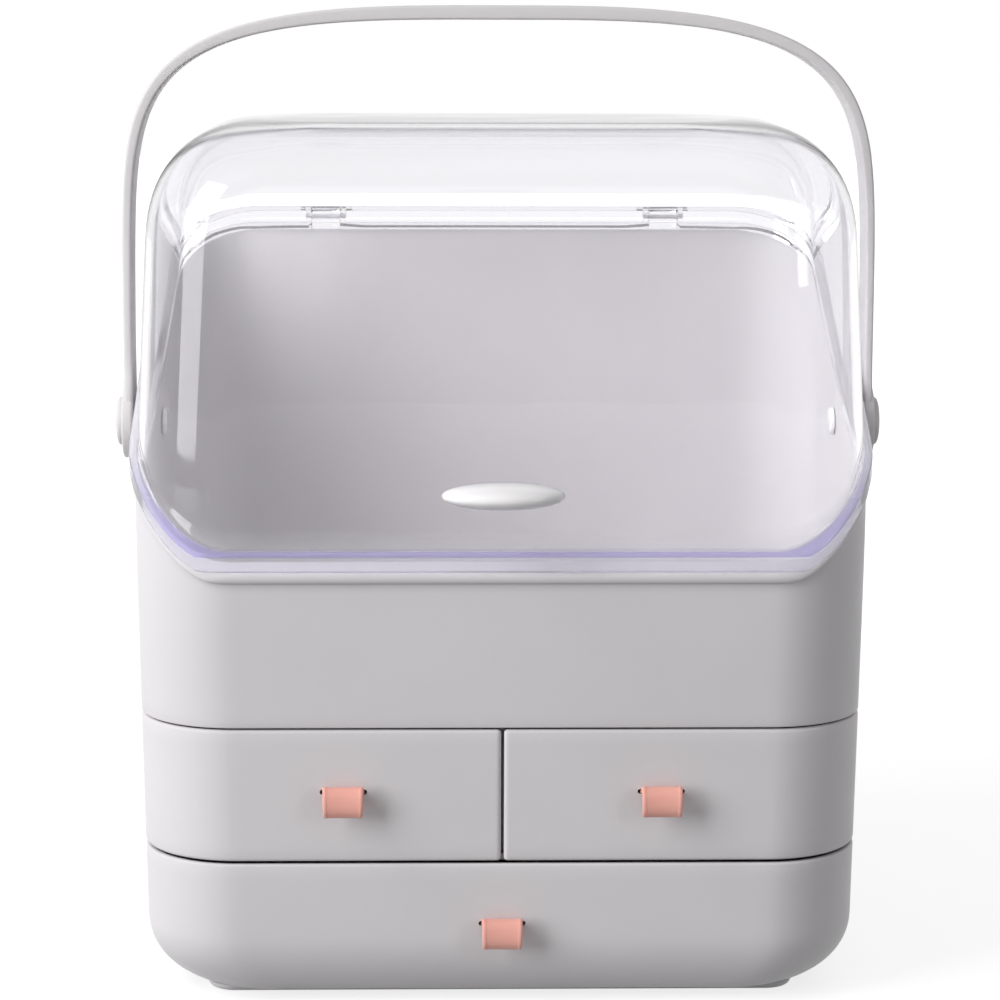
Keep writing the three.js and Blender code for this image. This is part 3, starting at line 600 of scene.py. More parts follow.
def bumped(tree, height, strength, distance):
    return add_node(tree, "ShaderNodeBump", {"Height": height, "Strength": strength,
                                             "Distance": distance}).outputs["Normal"]


def mixed_colour(tree, factor, first, second):
    """Blend of two colours; each is a socket or a plain colour."""
    first, second = (shade if isinstance(shade, bpy.types.NodeSocket) else (*shade, 1)
                     for shade in (first, second))
    return add_node(tree, "ShaderNodeMix", {"Factor": factor, 6: first, 7: second},
                    data_type="RGBA").outputs[2]


def tone(base, factor):
    return tuple(min(1.0, channel * factor) for channel in base)


def plastic_material(name, base, roughness, grain, coat=0.0, depth=0.0, glow=(1.0, 0.6, 0.5)):
    """Moulded plastic: soft clouding of the colour, patchy gloss and a fine eroded grain."""
    material, tree, output, place = new_material(name)
    cloud = between(tree, noise(tree, place, 14.0, 4.0, 0.6), 0.0, 1.0)
    flow = noise(tree, place, 55.0, 3.0)
    fine = maths(tree, "MULTIPLY", noise(tree, place, 1500.0, 2.0, 0.7), 0.12)
    relief = maths(tree, "ADD", fine, noise(tree, place, 22.0, 1.0))
    shader = add_node(tree, "ShaderNodeBsdfPrincipled", {
        "Base Color": mixed_colour(tree, cloud, tone(base, 0.975), tone(base, 1.02)),
        "Roughness": between(tree, flow, roughness - 0.035, roughness + 0.035),
        "IOR": 1.5, "Coat Weight": coat, "Coat Roughness": 0.12,
        "Normal": bumped(tree, relief, grain, 0.0006)})
    if depth:
        shader.inputs["Subsurface Weight"].default_value = 0.25
        shader.inputs["Subsurface Scale"].default_value = depth
        shader.inputs["Subsurface Radius"].default_value = glow
    tree.links.new(shader.outputs["BSDF"], output.inputs["Surface"])
    return material


def clear_material(name, colours):
    """Clear polystyrene: slight waves from moulding, a painted lavender reflection along the
    top of the flange, a milky tint over the rest of the flange, painted shade where it is seen
    edge on, and nearly clear for the lamps."""
    material, tree, output, place = new_material(name)
    painted_reflection_band, milky = (add_node(tree, "ShaderNodeAttribute", attribute_name=mark).outputs["Fac"]
                   for mark in ("flange", "milky"))
    # Painted shade: the plastic darkens towards the edge colour where it is seen edge on
    facing = add_node(tree, "ShaderNodeLayerWeight", {"Blend": 0.5}).outputs["Facing"]
    shade = mixed_colour(tree, maths(tree, "POWER", facing, 3.0), colours.clear, colours.edge)
    shade = mixed_colour(tree, milky, shade, colours.milky)
    # Painted reflection along the top of the flange: the plastic turns partly matt lavender there;
    # the milky band is less clear too
    cloudy = maths(tree, "MAXIMUM", maths(tree, "MULTIPLY", painted_reflection_band, 0.42),
                   maths(tree, "MULTIPLY", milky, 0.25))
    shader = add_node(tree, "ShaderNodeBsdfPrincipled", {
        "Base Color": mixed_colour(tree, painted_reflection_band, shade, colours.flange),
        "Transmission Weight": maths(tree, "SUBTRACT", 1.0, cloudy), "IOR": 1.49,
        "Roughness": between(tree, noise(tree, place, 40.0, 3.0), 0.0, 0.035),
        "Normal": bumped(tree, noise(tree, place, 26.0, 1.0), 0.02, 0.001)})
    through = add_node(tree, "ShaderNodeBsdfTransparent", {"Color": (0.82, 0.82, 0.83, 1)})
    light_path = tree.nodes.new("ShaderNodeLightPath")
    mix = add_node(tree, "ShaderNodeMixShader", {0: light_path.outputs["Is Shadow Ray"],
                                                 1: shader.outputs["BSDF"],
                                                 2: through.outputs["BSDF"]})
    tree.links.new(mix.outputs["Shader"], output.inputs["Surface"])
    return material


def steel_material(name, base):
    """Plated steel with fine turning marks and patchy polish."""
    material, tree, output, place = new_material(name)
    spread = noise(tree, place, 300.0, 3.0)
    shader = add_node(tree, "ShaderNodeBsdfPrincipled", {
        "Base Color": mixed_colour(tree, between(tree, spread, 0.0, 1.0), tone(base, 0.9),
                                   tone(base, 1.08)),
        "Metallic": 1.0, "Roughness": between(tree, spread, 0.2, 0.36),
        "Normal": bumped(tree, noise(tree, place, 2200.0, 4.0, 0.7), 0.08, 0.0003)})
    tree.links.new(shader.outputs["BSDF"], output.inputs["Surface"])
    return material


# Roughness and grain of each plastic, and how light spreads in the softer ones
PLASTICS = {
    "body": {"roughness": 0.42, "grain": 0.05},
    "front": {"roughness": 0.40, "grain": 0.05},
    "handle": {"roughness": 0.42, "grain": 0.003},
    "tray": {"roughness": 0.48, "grain": 0.07},
    "rubber": {"roughness": 0.75, "grain": 0.25},
    "tab": {"roughness": 0.34, "grain": 0.04, "depth": 0.0016, "glow": (1.0, 0.45, 0.3)},
    "white": {"roughness": 0.16, "grain": 0.015, "coat": 0.4, "depth": 0.001},
}


def material_for(look):
    """The material of a look, made once from the colours in the panel."""
    name = "organizer_" + look
    made = bpy.data.materials.get(name)
    if made:
        return made
    colours = bpy.context.scene.organizer_colours
    if look == "clear":
        return clear_material(name, colours)
    if look == "steel":
        return steel_material(name, colours.steel)
    return plastic_material(name, getattr(colours, look), **PLASTICS[look])


def tree_with(name, labels):
    """Geometry Nodes tree with named sizes, its input and its output node."""
    tree = bpy.data.node_groups.new(name, "GeometryNodeTree")
    tree.interface.new_socket("Geometry", in_out="INPUT", socket_type="NodeSocketGeometry")
    tree.interface.new_socket("Material", in_out="INPUT", socket_type="NodeSocketMaterial")
    for label in labels:
        tree.interface.new_socket(label, in_out="INPUT", socket_type="NodeSocketFloat")
    tree.interface.new_socket("Geometry", in_out="OUTPUT", socket_type="NodeSocketGeometry")
    return tree, tree.nodes.new("NodeGroupInput"), tree.nodes.new("NodeGroupOutput")


def end_tree(tree, given, output, shape):
    """Realize Instances and Set Material, the last two steps of every tree."""
    real = add_node(tree, "GeometryNodeRealizeInstances", {"Geometry": shape})
    painted = add_node(tree, "GeometryNodeSetMaterial",
                       {"Geometry": real.outputs[0], "Material": given.outputs["Material"]})
    tree.links.new(painted.outputs[0], output.inputs[0])
    return tree


def run_tree(piece, tree, sizes, look):
    """Run a tree on an object, with its inputs set by identifier, and keep the result as a mesh."""
    grown = piece.modifiers.new("grow", "NODES")
    grown.node_group = tree
    values = {**sizes, "Material": material_for(look)}
    for socket in tree.interface.items_tree:
        if socket.in_out == "INPUT" and socket.name in values:
            grown[socket.identifier] = values[socket.name]
    return smooth(face_outwards(plain(piece)))


def repeated(name, tree, places, aim, sizes, body, look, nodes):
    """One piece with a copy of a small part at each place, turned to its aim."""
    mesh = bpy.data.meshes.new(name)
    mesh.from_pydata([tuple(place) for place in places], [], [])
    direction = mesh.attributes.new("aim", "FLOAT_VECTOR", "POINT")
    direction.data.foreach_set("vector", [float(part) for _ in places for part in aim])
    finish(run_tree(show(name, mesh), tree, sizes, look), body, look, *nodes)


def on_points(tree, given, shape):
    """Copies of a shape on the points, turned from Z to each point's aim."""
    aim = add_node(tree, "GeometryNodeInputNamedAttribute", {"Name": "aim"},
                   data_type="FLOAT_VECTOR")
    turn = add_node(tree, "FunctionNodeAlignRotationToVector", {"Vector": aim.outputs[0]}, axis="Z")
    return add_node(tree, "GeometryNodeInstanceOnPoints",
                    {"Points": given.outputs["Geometry"], "Instance": shape,
                     "Rotation": turn.outputs[0]}).outputs[0]


def lifted(tree, shape, rise):
    """The same shape, moved up."""
    return add_node(tree, "GeometryNodeTransform",
                    {"Geometry": shape, "Translation": combined(tree, z=rise)}).outputs[0]


def placed(tree, shape, position):
    """The same shape with each of its points at a new position."""
    return add_node(tree, "GeometryNodeSetPosition",
                    {"Geometry": shape, "Position": position}).outputs[0]


def disc_nodes(tree, radius, height, fullness):
    """Disc on Z = 0 whose top is domed and whose rim is lower than its middle."""
    disc = add_node(tree, "GeometryNodeMeshCylinder",
                    {"Radius": radius, "Depth": height, "Vertices": 36, "Side Segments": 3,
                     "Fill Segments": 6}, fill_type="NGON")
    x, y, z = separated(tree, tree.nodes.new("GeometryNodeInputPosition").outputs[0])
    far = vector_maths(tree, "LENGTH", combined(tree, x, y))["Value"]
    out_share = maths(tree, "POWER", maths(tree, "DIVIDE", far, radius), 4.0)
    fall = maths(tree, "SUBTRACT", 1.0, maths(tree, "MULTIPLY", out_share, fullness))
    above = maths(tree, "ADD", z, maths(tree, "MULTIPLY", height, 0.5))
    domed = combined(tree, x, y, maths(tree, "MULTIPLY", above, fall))
    return placed(tree, disc.outputs["Mesh"], domed)


def pad_tree():
    """Round pad with soft edges; Z points down to the table."""
    tree, given, output = tree_with("pads", ("Radius", "Thickness", "Edge"))
    thickness = given.outputs["Thickness"]
    disc = disc_nodes(tree, given.outputs["Radius"], thickness,
                      maths(tree, "DIVIDE", given.outputs["Edge"], thickness))
    centred = lifted(tree, disc, maths(tree, "MULTIPLY", thickness, -0.5))
    return end_tree(tree, given, output, on_points(tree, given, centred))


def solid_of(tree, operation, *sockets):
    """Join solids, or cut the second one from the first."""
    made = add_node(tree, "GeometryNodeMeshBoolean", operation=operation, solver="EXACT")
    names = ("Mesh 2", "Mesh 2") if operation == "UNION" else ("Mesh 1", "Mesh 2")
    for name, socket in zip(names, sockets):
        tree.links.new(socket, made.inputs[name])
    return made.outputs["Mesh"]


def screw_tree():
    """Pan-head screw with a cross recess; Z points out of its head."""
    tree = bpy.data.node_groups.get("screws")
    if tree:
        return tree
    tree, given, output = tree_with("screws", ("Head Radius", "Head Height", "Shank Radius",
                                               "Shank Length"))
    radius, height = given.outputs["Head Radius"], given.outputs["Head Height"]
    length = given.outputs["Shank Length"]
    shank = add_node(tree, "GeometryNodeMeshCylinder",
                     {"Radius": given.outputs["Shank Radius"], "Depth": length, "Vertices": 20},
                     fill_type="NGON")
    lowered = lifted(tree, shank.outputs["Mesh"], maths(tree, "MULTIPLY", length, -0.5))
    screw = solid_of(tree, "UNION", disc_nodes(tree, radius, height, 0.55), lowered)
    sides = [maths(tree, "MULTIPLY", radius, part) for part in (1.1, 0.26)]
    for x, y in (sides, reversed(sides)):
        bar = add_node(tree, "GeometryNodeMeshCube", {"Size": combined(tree, x, y, height)})
        raised = lifted(tree, bar.outputs["Mesh"], maths(tree, "MULTIPLY", height, 1.05))
        screw = solid_of(tree, "DIFFERENCE", screw, raised)
    return end_tree(tree, given, output, on_points(tree, given, screw))


def captured(tree, shape, **values):
    """Shape that carries values with it, given as a kind and a socket for each name."""
    made = tree.nodes.new("GeometryNodeCaptureAttribute")
    for name, (kind, _) in values.items():
        made.capture_items.new(kind, name)
    tree.links.new(shape, made.inputs["Geometry"])
    for name, (_, socket) in values.items():
        tree.links.new(socket, made.inputs[name])
    return made.outputs


STRAP_SIZES = ("Half Width", "Rise", "Pivot Height", "Pivot Depth", "Side Power", "Top Power",
               "Strap Width", "End Thickness", "Top Thickness", "Edge", "Flare")


def arch_nodes(tree, size_of):
    """Evenly spread curve: |x| to the side power plus |z| to the top power is one."""
    line = add_node(tree, "GeometryNodeCurvePrimitiveLine")
    fine = add_node(tree, "GeometryNodeResampleCurve", {"Curve": line.outputs[0], "Count": 1200})
    share_along = tree.nodes.new("GeometryNodeSplineParameter").outputs["Factor"]
    angle = maths(tree, "MULTIPLY", maths(tree, "SUBTRACT", 1.0, share_along), math.pi)
    cosine, sine = maths(tree, "COSINE", angle), maths(tree, "SINE", angle)
    across = maths(tree, "POWER", maths(tree, "ABSOLUTE", cosine),
                   maths(tree, "DIVIDE", 2.0, size_of["Side Power"]))
    across = maths(tree, "MULTIPLY", across, maths(tree, "SIGN", cosine))
    rise = maths(tree, "POWER", maths(tree, "MAXIMUM", sine, 0.0),
                 maths(tree, "DIVIDE", 2.0, size_of["Top Power"]))
    spot = combined(tree, maths(tree, "MULTIPLY", across, size_of["Half Width"]),
                    size_of["Pivot Depth"],
                    maths(tree, "ADD", maths(tree, "MULTIPLY", rise, size_of["Rise"]),
                          size_of["Pivot Height"]))
    return add_node(tree, "GeometryNodeResampleCurve",
                    {"Curve": placed(tree, fine.outputs[0], spot), "Count": 241}).outputs[0]


def strap_tree():
    """Strap swept along an arch, thicker at its top and wider just above its pivots."""
    tree, given, output = tree_with("strap", STRAP_SIZES)
    size_of = given.outputs
    position = tree.nodes.new("GeometryNodeInputPosition").outputs[0]
    arch = captured(
        tree, arch_nodes(tree, size_of), place=("VECTOR", position),
        along=("VECTOR", tree.nodes.new("GeometryNodeInputTangent").outputs[0]),
        share=("FLOAT", tree.nodes.new("GeometryNodeSplineParameter").outputs["Factor"]))

    # Rounded section: its own X runs across the strap and its Y through the thickness
    rectangle = add_node(tree, "GeometryNodeCurvePrimitiveQuadrilateral",
                         {"Width": size_of["Strap Width"], "Height": size_of["End Thickness"]})
    rounded = add_node(tree, "GeometryNodeFilletCurve",
                       {"Curve": rectangle.outputs[0], "Radius": size_of["Edge"], "Count": 5},
                       mode="POLY")
    profile = captured(tree, rounded.outputs[0], section=("VECTOR", position))
    swept = add_node(tree, "GeometryNodeCurveToMesh",
                     {"Curve": arch["Geometry"], "Profile Curve": profile["Geometry"],
                      "Fill Caps": True})

    section = separated(tree, profile["section"])
    inward = vector_maths(tree, "CROSS_PRODUCT", (0.0, 1.0, 0.0), arch["along"])["Vector"]
    inward = vector_maths(tree, "NORMALIZE", inward)["Vector"]
    middle = maths(tree, "SINE", maths(tree, "MULTIPLY", arch["share"], math.pi))
    extra = maths(tree, "SUBTRACT", size_of["Top Thickness"], size_of["End Thickness"])
    growth = maths(tree, "MULTIPLY", extra, maths(tree, "POWER", middle, 2.0))
    is_inner = maths(tree, "GREATER_THAN", section[1], 0.0)
    depth = maths(tree, "ADD", section[1], maths(tree, "MULTIPLY", size_of["End Thickness"], 0.5))
    depth = maths(tree, "ADD", depth, maths(tree, "MULTIPLY", is_inner, growth))
    above = maths(tree, "SUBTRACT", separated(tree, arch["place"])[2], size_of["Pivot Height"])
    near = add_node(tree, "ShaderNodeMapRange", {"Value": above, "From Min": 0.007,
                                                 "From Max": 0.024, "To Min": 1.0, "To Max": 0.0},
                    interpolation_type="SMOOTHSTEP").outputs["Result"]
    half = maths(tree, "MULTIPLY", size_of["Strap Width"], 0.5)
    widening = maths(tree, "DIVIDE", maths(tree, "MULTIPLY", near, size_of["Flare"]), half)
    width = maths(tree, "MULTIPLY", section[0], maths(tree, "ADD", widening, 1.0))
    shift = add_node(tree, "ShaderNodeVectorMath", {0: inward, "Scale": depth}, operation="SCALE")
    target = vector_maths(tree, "ADD", arch["place"], shift.outputs["Vector"])["Vector"]
    target = vector_maths(tree, "ADD", target, combined(tree, y=width))["Vector"]
    return end_tree(tree, given, output, placed(tree, swept.outputs[0], target))


# Outline of the bead and of the flange: lift and reach as shares of their size
BEAD_SHARES = [(-0.12, 0), (0, 0.1), (0.04, 0.3), (0.1, 0.55), (0.2, 0.78), (0.34, 0.94), (0.5, 1),
               (0.64, 0.97), (0.76, 0.87), (0.86, 0.7), (0.93, 0.5), (0.98, 0.28), (1, 0.1)]
FLANGE_SHARES = [(0, 0.6), (0, 0.78), (0.02, 0.88), (0.07, 0.96), (0.14, 1), (0.17, 1), (0.21, 1),
                 (0.44, 1), (0.66, 1), (0.71, 1), (0.82, 1), (0.9, 0.96), (0.95, 0.88),
                 (0.975, 0.75), (1, 0.3), (1.03, 0.12), (1.1, 0)]
# Radius and height of the moulded boss inside the bin at each pivot
BOSS = [(0, 0), (0.0132, 0), (0.0132, 0.0008), (0.0118, 0.0016), (0.0112, 0.0026),
        (0.011, 0.0046), (0.0108, 0.0052), (0.0104, 0.0056), (0, 0.0056)]
# Middle line of a tab: shares of its reach and height
TAB_SHARES = [(0.1, 0.393), (0.2, 0.44), (0.3, 0.54), (0.42, 0.625), (0.56, 0.64), (0.7, 0.57),
              (0.82, 0.4), (0.88, 0.18), (0.89, -0.05), (0.84, -0.25), (0.72, -0.4)]
# Outline of a pivot cap: a low button with a round shoulder and a dish in its middle
CAP_SHARES = [(0, 0), (1, 0), (1, 0.32), (0.985, 0.5), (0.94, 0.68), (0.87, 0.8), (0.76, 0.89),
              (0.62, 0.95), (0.5, 0.975), (0.42, 0.96), (0.36, 0.92), (0.25, 0.9), (0.12, 0.9),
              (0, 0.9)]
FOUR = (1, 2, 3, 4)


def form_of(context):
    return BoxForm(context.scene.organizer_box)


def wall_rings(form, low, high, inset):
    """Rings spread evenly between two heights, which may differ from column to column."""
    return [form.ring(low + (high - low) * step / 16, inset) for step in range(1, 16)]


def screw_tip(form, height):
    """Depth at which a hinge screw ends, inside the bin's back wall."""
    wall_left = 0.0009
    return form.back(height, form.box.bin_draft, form.box.wall) + wall_left


class ORGANIZER_OT_upper_bin(bpy.types.Operator):
    """Make the open bin with its beaded rim"""

    bl_idname = "organizer.upper_bin"
    bl_label = "Top bin"

    def execute(self, context):
        form = form_of(context)
        box = form.box
        outer_edge, inner_edge, fillet = 0.0006, 0.0008, 0.0035
        bottom = box.high_seam + FIT / 2
        floor = bottom + box.wall
        foot = form.seam_ring(-box.bead_tall * 1.2)
        inside = form.seam_ring(-inner_edge, box.wall)
        rings = [form.ring(bottom + rise, inset) for rise, inset in edge_steps(outer_edge)]
        rings += wall_rings(form, bottom + outer_edge, foot[:, 2], 0.0)
        rings += [form.seam_ring(-box.bead_tall * (1 - lift), -box.bead_proud * reach)
                  for lift, reach in BEAD_SHARES]
        rings.append(form.seam_ring(0))
        rings += [form.seam_ring(-rise, box.wall - inset) for rise, inset in edge_steps(inner_edge)]
        rings += wall_rings(form, inside[:, 2], floor + fillet, box.wall)
        rings += [form.ring(floor + rise, box.wall + inset)
                  for rise, inset in reversed(edge_steps(fillet, 5))]
        made = loft("upper_bin_shell", rings)
        for side, name in SIDES:
            low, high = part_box(f"pivot_washer_{name}")
            _, y, z = (low + high) / 2
            end = min(abs(low.x), abs(high.x)) - FIT
            start = end - BOSS[-1][1]
            join(made, turned("boss", BOSS, (side * start, y, z), (side, 0, 0)))
            drill(made, PIVOT_HOLE, (side * (end - 0.012), y, z), (side * (end + OVERRUN), y, z))
            for index in (1, 2):
                x, y, z = middle_of(f"hinge_screw_{name}_{index}")
                drill(made, SCREW_HOLE, (x, screw_tip(form, z) - FIT, z), (x, y + 0.02, z), 24)
        finish(smooth(made), "box", "body", "upper_bin")
        return {"FINISHED"}


def wall_heights(form, low, high, steps):
    """Heights between two levels, closer together in the rounding at the bottom."""
    even = np.linspace(low, high, steps)
    if low >= form.bottom_centre:
        return even
    rise = form.box.bottom_rise
    lowest = math.asin(min(1.0, (form.bottom_centre - low) / rise))
    curved = form.bottom_centre - rise * np.sin(np.linspace(lowest, 0, 16))
    return np.concatenate([curved, even[even > form.bottom_centre + 0.003]])


def tier_solid(form, drawers, name, bottom, top):
    """Walls behind the drawer fronts, open to the front, with a floor."""
    wall = form.box.tier_wall
    opening = form.front + drawers.wrap_depth + drawers.gap
    heights = wall_heights(form, bottom, top, 8)
    outer, inner = (np.array([form.path(z, inset, opening, True, TIER_COLUMNS) for z in heights])
                    for inset in (0.0, wall))
    floor_levels = (bottom, bottom + wall / 2, bottom + wall)
    plate = [form.ring(z, drawers.front_thickness + drawers.gap) for z in floor_levels]
    back = [form.path(z, wall / 2, opening + 0.001, True, TIER_COLUMNS) for z in floor_levels]
    return join(bevel(panel(name, outer, inner), 0.0005), loft("floor", plate), loft("floor", back))


class ORGANIZER_OT_tiers(bpy.types.Operator):
    """Make the two tiers and the divider behind the drawers"""

    bl_idname = "organizer.tiers"
    bl_label = "Tiers"

    def execute(self, context):
        form = form_of(context)
        box = form.box
        drawers = context.scene.organizer_drawers
        middle = tier_solid(form, drawers, "middle_tier_shell", box.low_seam + FIT / 2,
                            box.high_seam - FIT / 2)
        finish(smooth(middle), "box", "body", "middle_tier")
        lower = tier_solid(form, drawers, "lower_tier_shell", form.floor, box.low_seam - FIT / 2)
        for index in FOUR:
            x, y, _ = middle_of(f"base_screw_{index}")
            drill(lower, SCREW_HOLE, (x, y, 0.0), (x, y, 0.008), 24)
        finish(smooth(lower), "box", "body", "lower_tier")
        divider = bevel(from_node("centre_divider", "centre_partition"), 0.0004)
        finish(smooth(divider), "box", "tray", "centre_partition")
        return {"FINISHED"}


class ORGANIZER_OT_foot(bpy.types.Operator):
    """Make the foot plate, its pads and its screws"""

    bl_idname = "organizer.foot"
    bl_label = "Foot"

    def execute(self, context):
        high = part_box("base_plate")[1]
        corner, edge_rise, edge_run = 0.011, 0.0022, 0.0024
        quarter, angle = quarter_turns(12)
        centre_x = np.where(quarter < 2, 1, -1) * (high.x - corner)
        centre_y = np.where((quarter == 1) | (quarter == 2), 1, -1) * (high.y - corner)

        def foot_ring(height, inset):
            return np.column_stack([centre_x + (corner - inset) * np.cos(angle),
                                    centre_y + (corner - inset) * np.sin(angle),
                                    np.full(len(angle), height)])

        rings = [foot_ring(edge_rise * rise, edge_run * inset) for rise, inset in edge_steps(1, 6)]
        made = loft("foot_plate", [*rings, foot_ring(high.z, 0.0)])
        pads = [middle_of(f"foot_pad_{index}") for index in FOUR]
        screws = [middle_of(f"base_screw_{index}") for index in FOUR]
        pad_recess, head_recess, under = 0.0083, 0.0031, -0.001
        for (pad_x, pad_y, _), (x, y, _) in zip(pads, screws):
            drill(made, pad_recess, (pad_x, pad_y, under), (pad_x, pad_y, 0.0018))
            drill(made, SCREW_HOLE, (x, y, under), (x, y, 0.006), 24)
            drill(made, head_recess, (x, y, under), (x, y, 0.0013), 32)
        finish(smooth(made), "box", "body", "base_plate")
        repeated("foot_pads", pad_tree(), pads, (0, 0, -1),
                 {"Radius": 0.008, "Thickness": 0.0015, "Edge": 0.0004},
                 "box", "rubber", [f"foot_pad_{index}" for index in FOUR])
        repeated("base_screws", screw_tree(), [(x, y, 0.001) for x, y, _ in screws], (0, 0, -1),
                 {"Head Radius": 0.0028, "Head Height": 0.001, "Shank Radius": 0.0013,
                  "Shank Length": 0.0041},
                 "box", "steel", [f"base_screw_{index}" for index in FOUR])
        return {"FINISHED"}


def hinge_places(lid):
    """Height and depth of the hinge axis, and the back of the flange there."""
    pin = middle_of("hinge_pin_left")
    return pin.z, pin.y, pin.y - lid.knuckle_radius - FIT * 2


def mark_flange(piece, form, lid):
    """Store how much of the painted reflection along the top of the flange, and of its milky grey,
    each point has.
    """
    points = np.empty(len(piece.data.vertices) * 3)
    piece.data.vertices.foreach_get("co", points)
    _, depth, height = points.reshape(-1, 3).T
    level = (height - form.seam_height(depth) - FIT) / lid.flange_tall

    def ramp(value, start, length):
        return np.clip((value - start) / length, 0, 1)

    # Painted reflection: a lavender band along the top of the flange, at the front only
    painted_reflection = ramp(level, 0.72, 0.08) * ramp(-level, -1.04, 0.03) * ramp(-depth, 0.06, 0.03)
    milky = ramp(level, -0.02, 0.01) * ramp(-level, -0.74, 0.04) * ramp(-depth, -0.03, 0.06)
    for name, amount in (("flange", painted_reflection), ("milky", milky)):
        mark = piece.data.attributes.new(name, "FLOAT", "POINT")
        mark.data.foreach_set("value", amount.astype(np.float32))


class ORGANIZER_OT_lid(bpy.types.Operator):
    """Make the clear lid with its flange and knuckles"""

    bl_idname = "organizer.lid"
    bl_label = "Lid"

    def execute(self, context):
        form = form_of(context)
        draft = form.box.lid_draft
        lid = context.scene.organizer_lid
        inner_foot = form.seam_ring(FIT + 0.0005, lid.wall, draft)
        flange_top = form.seam_ring(FIT + lid.flange_tall * 1.18, 0.0, draft)
        # The flange reaches out less at the back, to clear the hinges
        behind = np.clip((form.seam_ring(0.0)[:, 1] - 0.06) / 0.03, 0, 1)
        proud = lid.flange_proud * (1 - 0.7 * behind)
        rings = [*reversed(form.lid_rings(inner_foot, lid.wall)), inner_foot,
                 form.seam_ring(FIT + 0.0001, lid.wall - 0.0002, draft),
                 form.seam_ring(FIT, lid.wall - 0.0006, draft)]
        for lift, reach in FLANGE_SHARES:
            rings.append(form.seam_ring(FIT + lid.flange_tall * lift, -proud * reach,
                                        draft if lift >= 1 else None))
        made = loft("lid_clear_shell", [*rings, flange_top, *form.lid_rings(flange_top, 0.0)])
        height, depth, flange_back = hinge_places(lid)
        radius = lid.knuckle_radius
        arm_foot = (form.back(height, draft) - lid.wall / 2,
                    float(form.seam_height(flange_back)) + FIT)
        for side, _ in SIDES:
            start = side * lid.hinge_offset - lid.knuckle_width / 2
            end = start + lid.knuckle_width
            arm = block("arm", (start, *arm_foot), (end, depth, height + radius))
            knuckle = rod("knuckle", radius, (start, depth, height), (end, depth, height))
            join(made, bevel(arm, 0.0003, 2), bevel(knuckle, 0.0004, 2))
            drill(made, HINGE_HOLE, (start - 0.002, depth, height),
                  (end + 0.002, depth, height), 32)
        _, y, z = middle_of("knob_screw")
        drill(made, KNOB_HOLE, (0, y - 0.02, z), (0, y + 0.008, z), 32)
        mark_flange(made, form, lid)
        finish(smooth(made), "lid", "clear", "lid_shell")
        return {"FINISHED"}


class ORGANIZER_OT_knob(bpy.types.Operator):
    """Make the white knob and its screw"""

    bl_idname = "organizer.knob"
    bl_label = "Knob"

    def execute(self, context):
        form = form_of(context)
        draft = form.box.lid_draft
        lid = context.scene.organizer_lid
        height = middle_of("lid_knob").z
        face = form.face(height, draft)
        rows, columns, fullness = 40, 72, 0.92
        rings = []
        for row in range(rows + 1):
            lift = math.pi * row / rows
            ring = []
            for column in range(columns):
                turn = 2 * math.pi * column / columns
                up = math.sin(lift) * math.sin(turn)
                z = height + math.copysign(abs(up) ** fullness, up) * lid.knob_tall / 2
                y = face + math.sin(lift) * math.cos(turn) * lid.knob_reach
                ring.append((math.cos(lift) * lid.knob_width / 2,
                             min(y, form.face(z, draft) - FIT), z))
            rings.append(ring)
        finish(smooth(loft("knob_pebble", rings), 50), "lid", "white", "lid_knob")
        low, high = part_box("knob_screw")
        head_height = 0.0016
        seat = high.y - head_height
        repeated("knob_screw_steel", screw_tree(), [(0, seat, (low.z + high.z) / 2)], (0, 1, 0),
                 {"Head Radius": 0.0032, "Head Height": head_height, "Shank Radius": 0.0015,
                  "Shank Length": seat - low.y}, "lid", "steel", ["knob_screw"])
        return {"FINISHED"}


def bracket_outline(form, lid):
    """Outline of a hinge bracket in the Y-Z plane, from its foot round its back."""
    box = form.box
    height, depth, flange_back = hinge_places(lid)
    top = height - lid.knuckle_radius - FIT * 2
    low = top - lid.bracket_tall
    front = flange_back + FIT * 2
    back = front + lid.bracket_thickness
    shoulder, step = 0.0024, 0.0003
    rim = float(form.seam_height(form.back(height, box.bin_draft))) - box.bead_tall - FIT
    wall_low, wall_rim = (form.back(z, box.bin_draft, -FIT) for z in (low, rim))
    outline = [(wall_low, low), (back - shoulder, low), (back - step, low + shoulder * 0.7),
               (back, low + shoulder * 1.3), (back, top - shoulder * 1.2),
               (back + step, top - shoulder * 0.7), (depth + lid.knuckle_radius, top),
               (front, top), (front, rim), (wall_rim, rim)]
    return outline, top, back


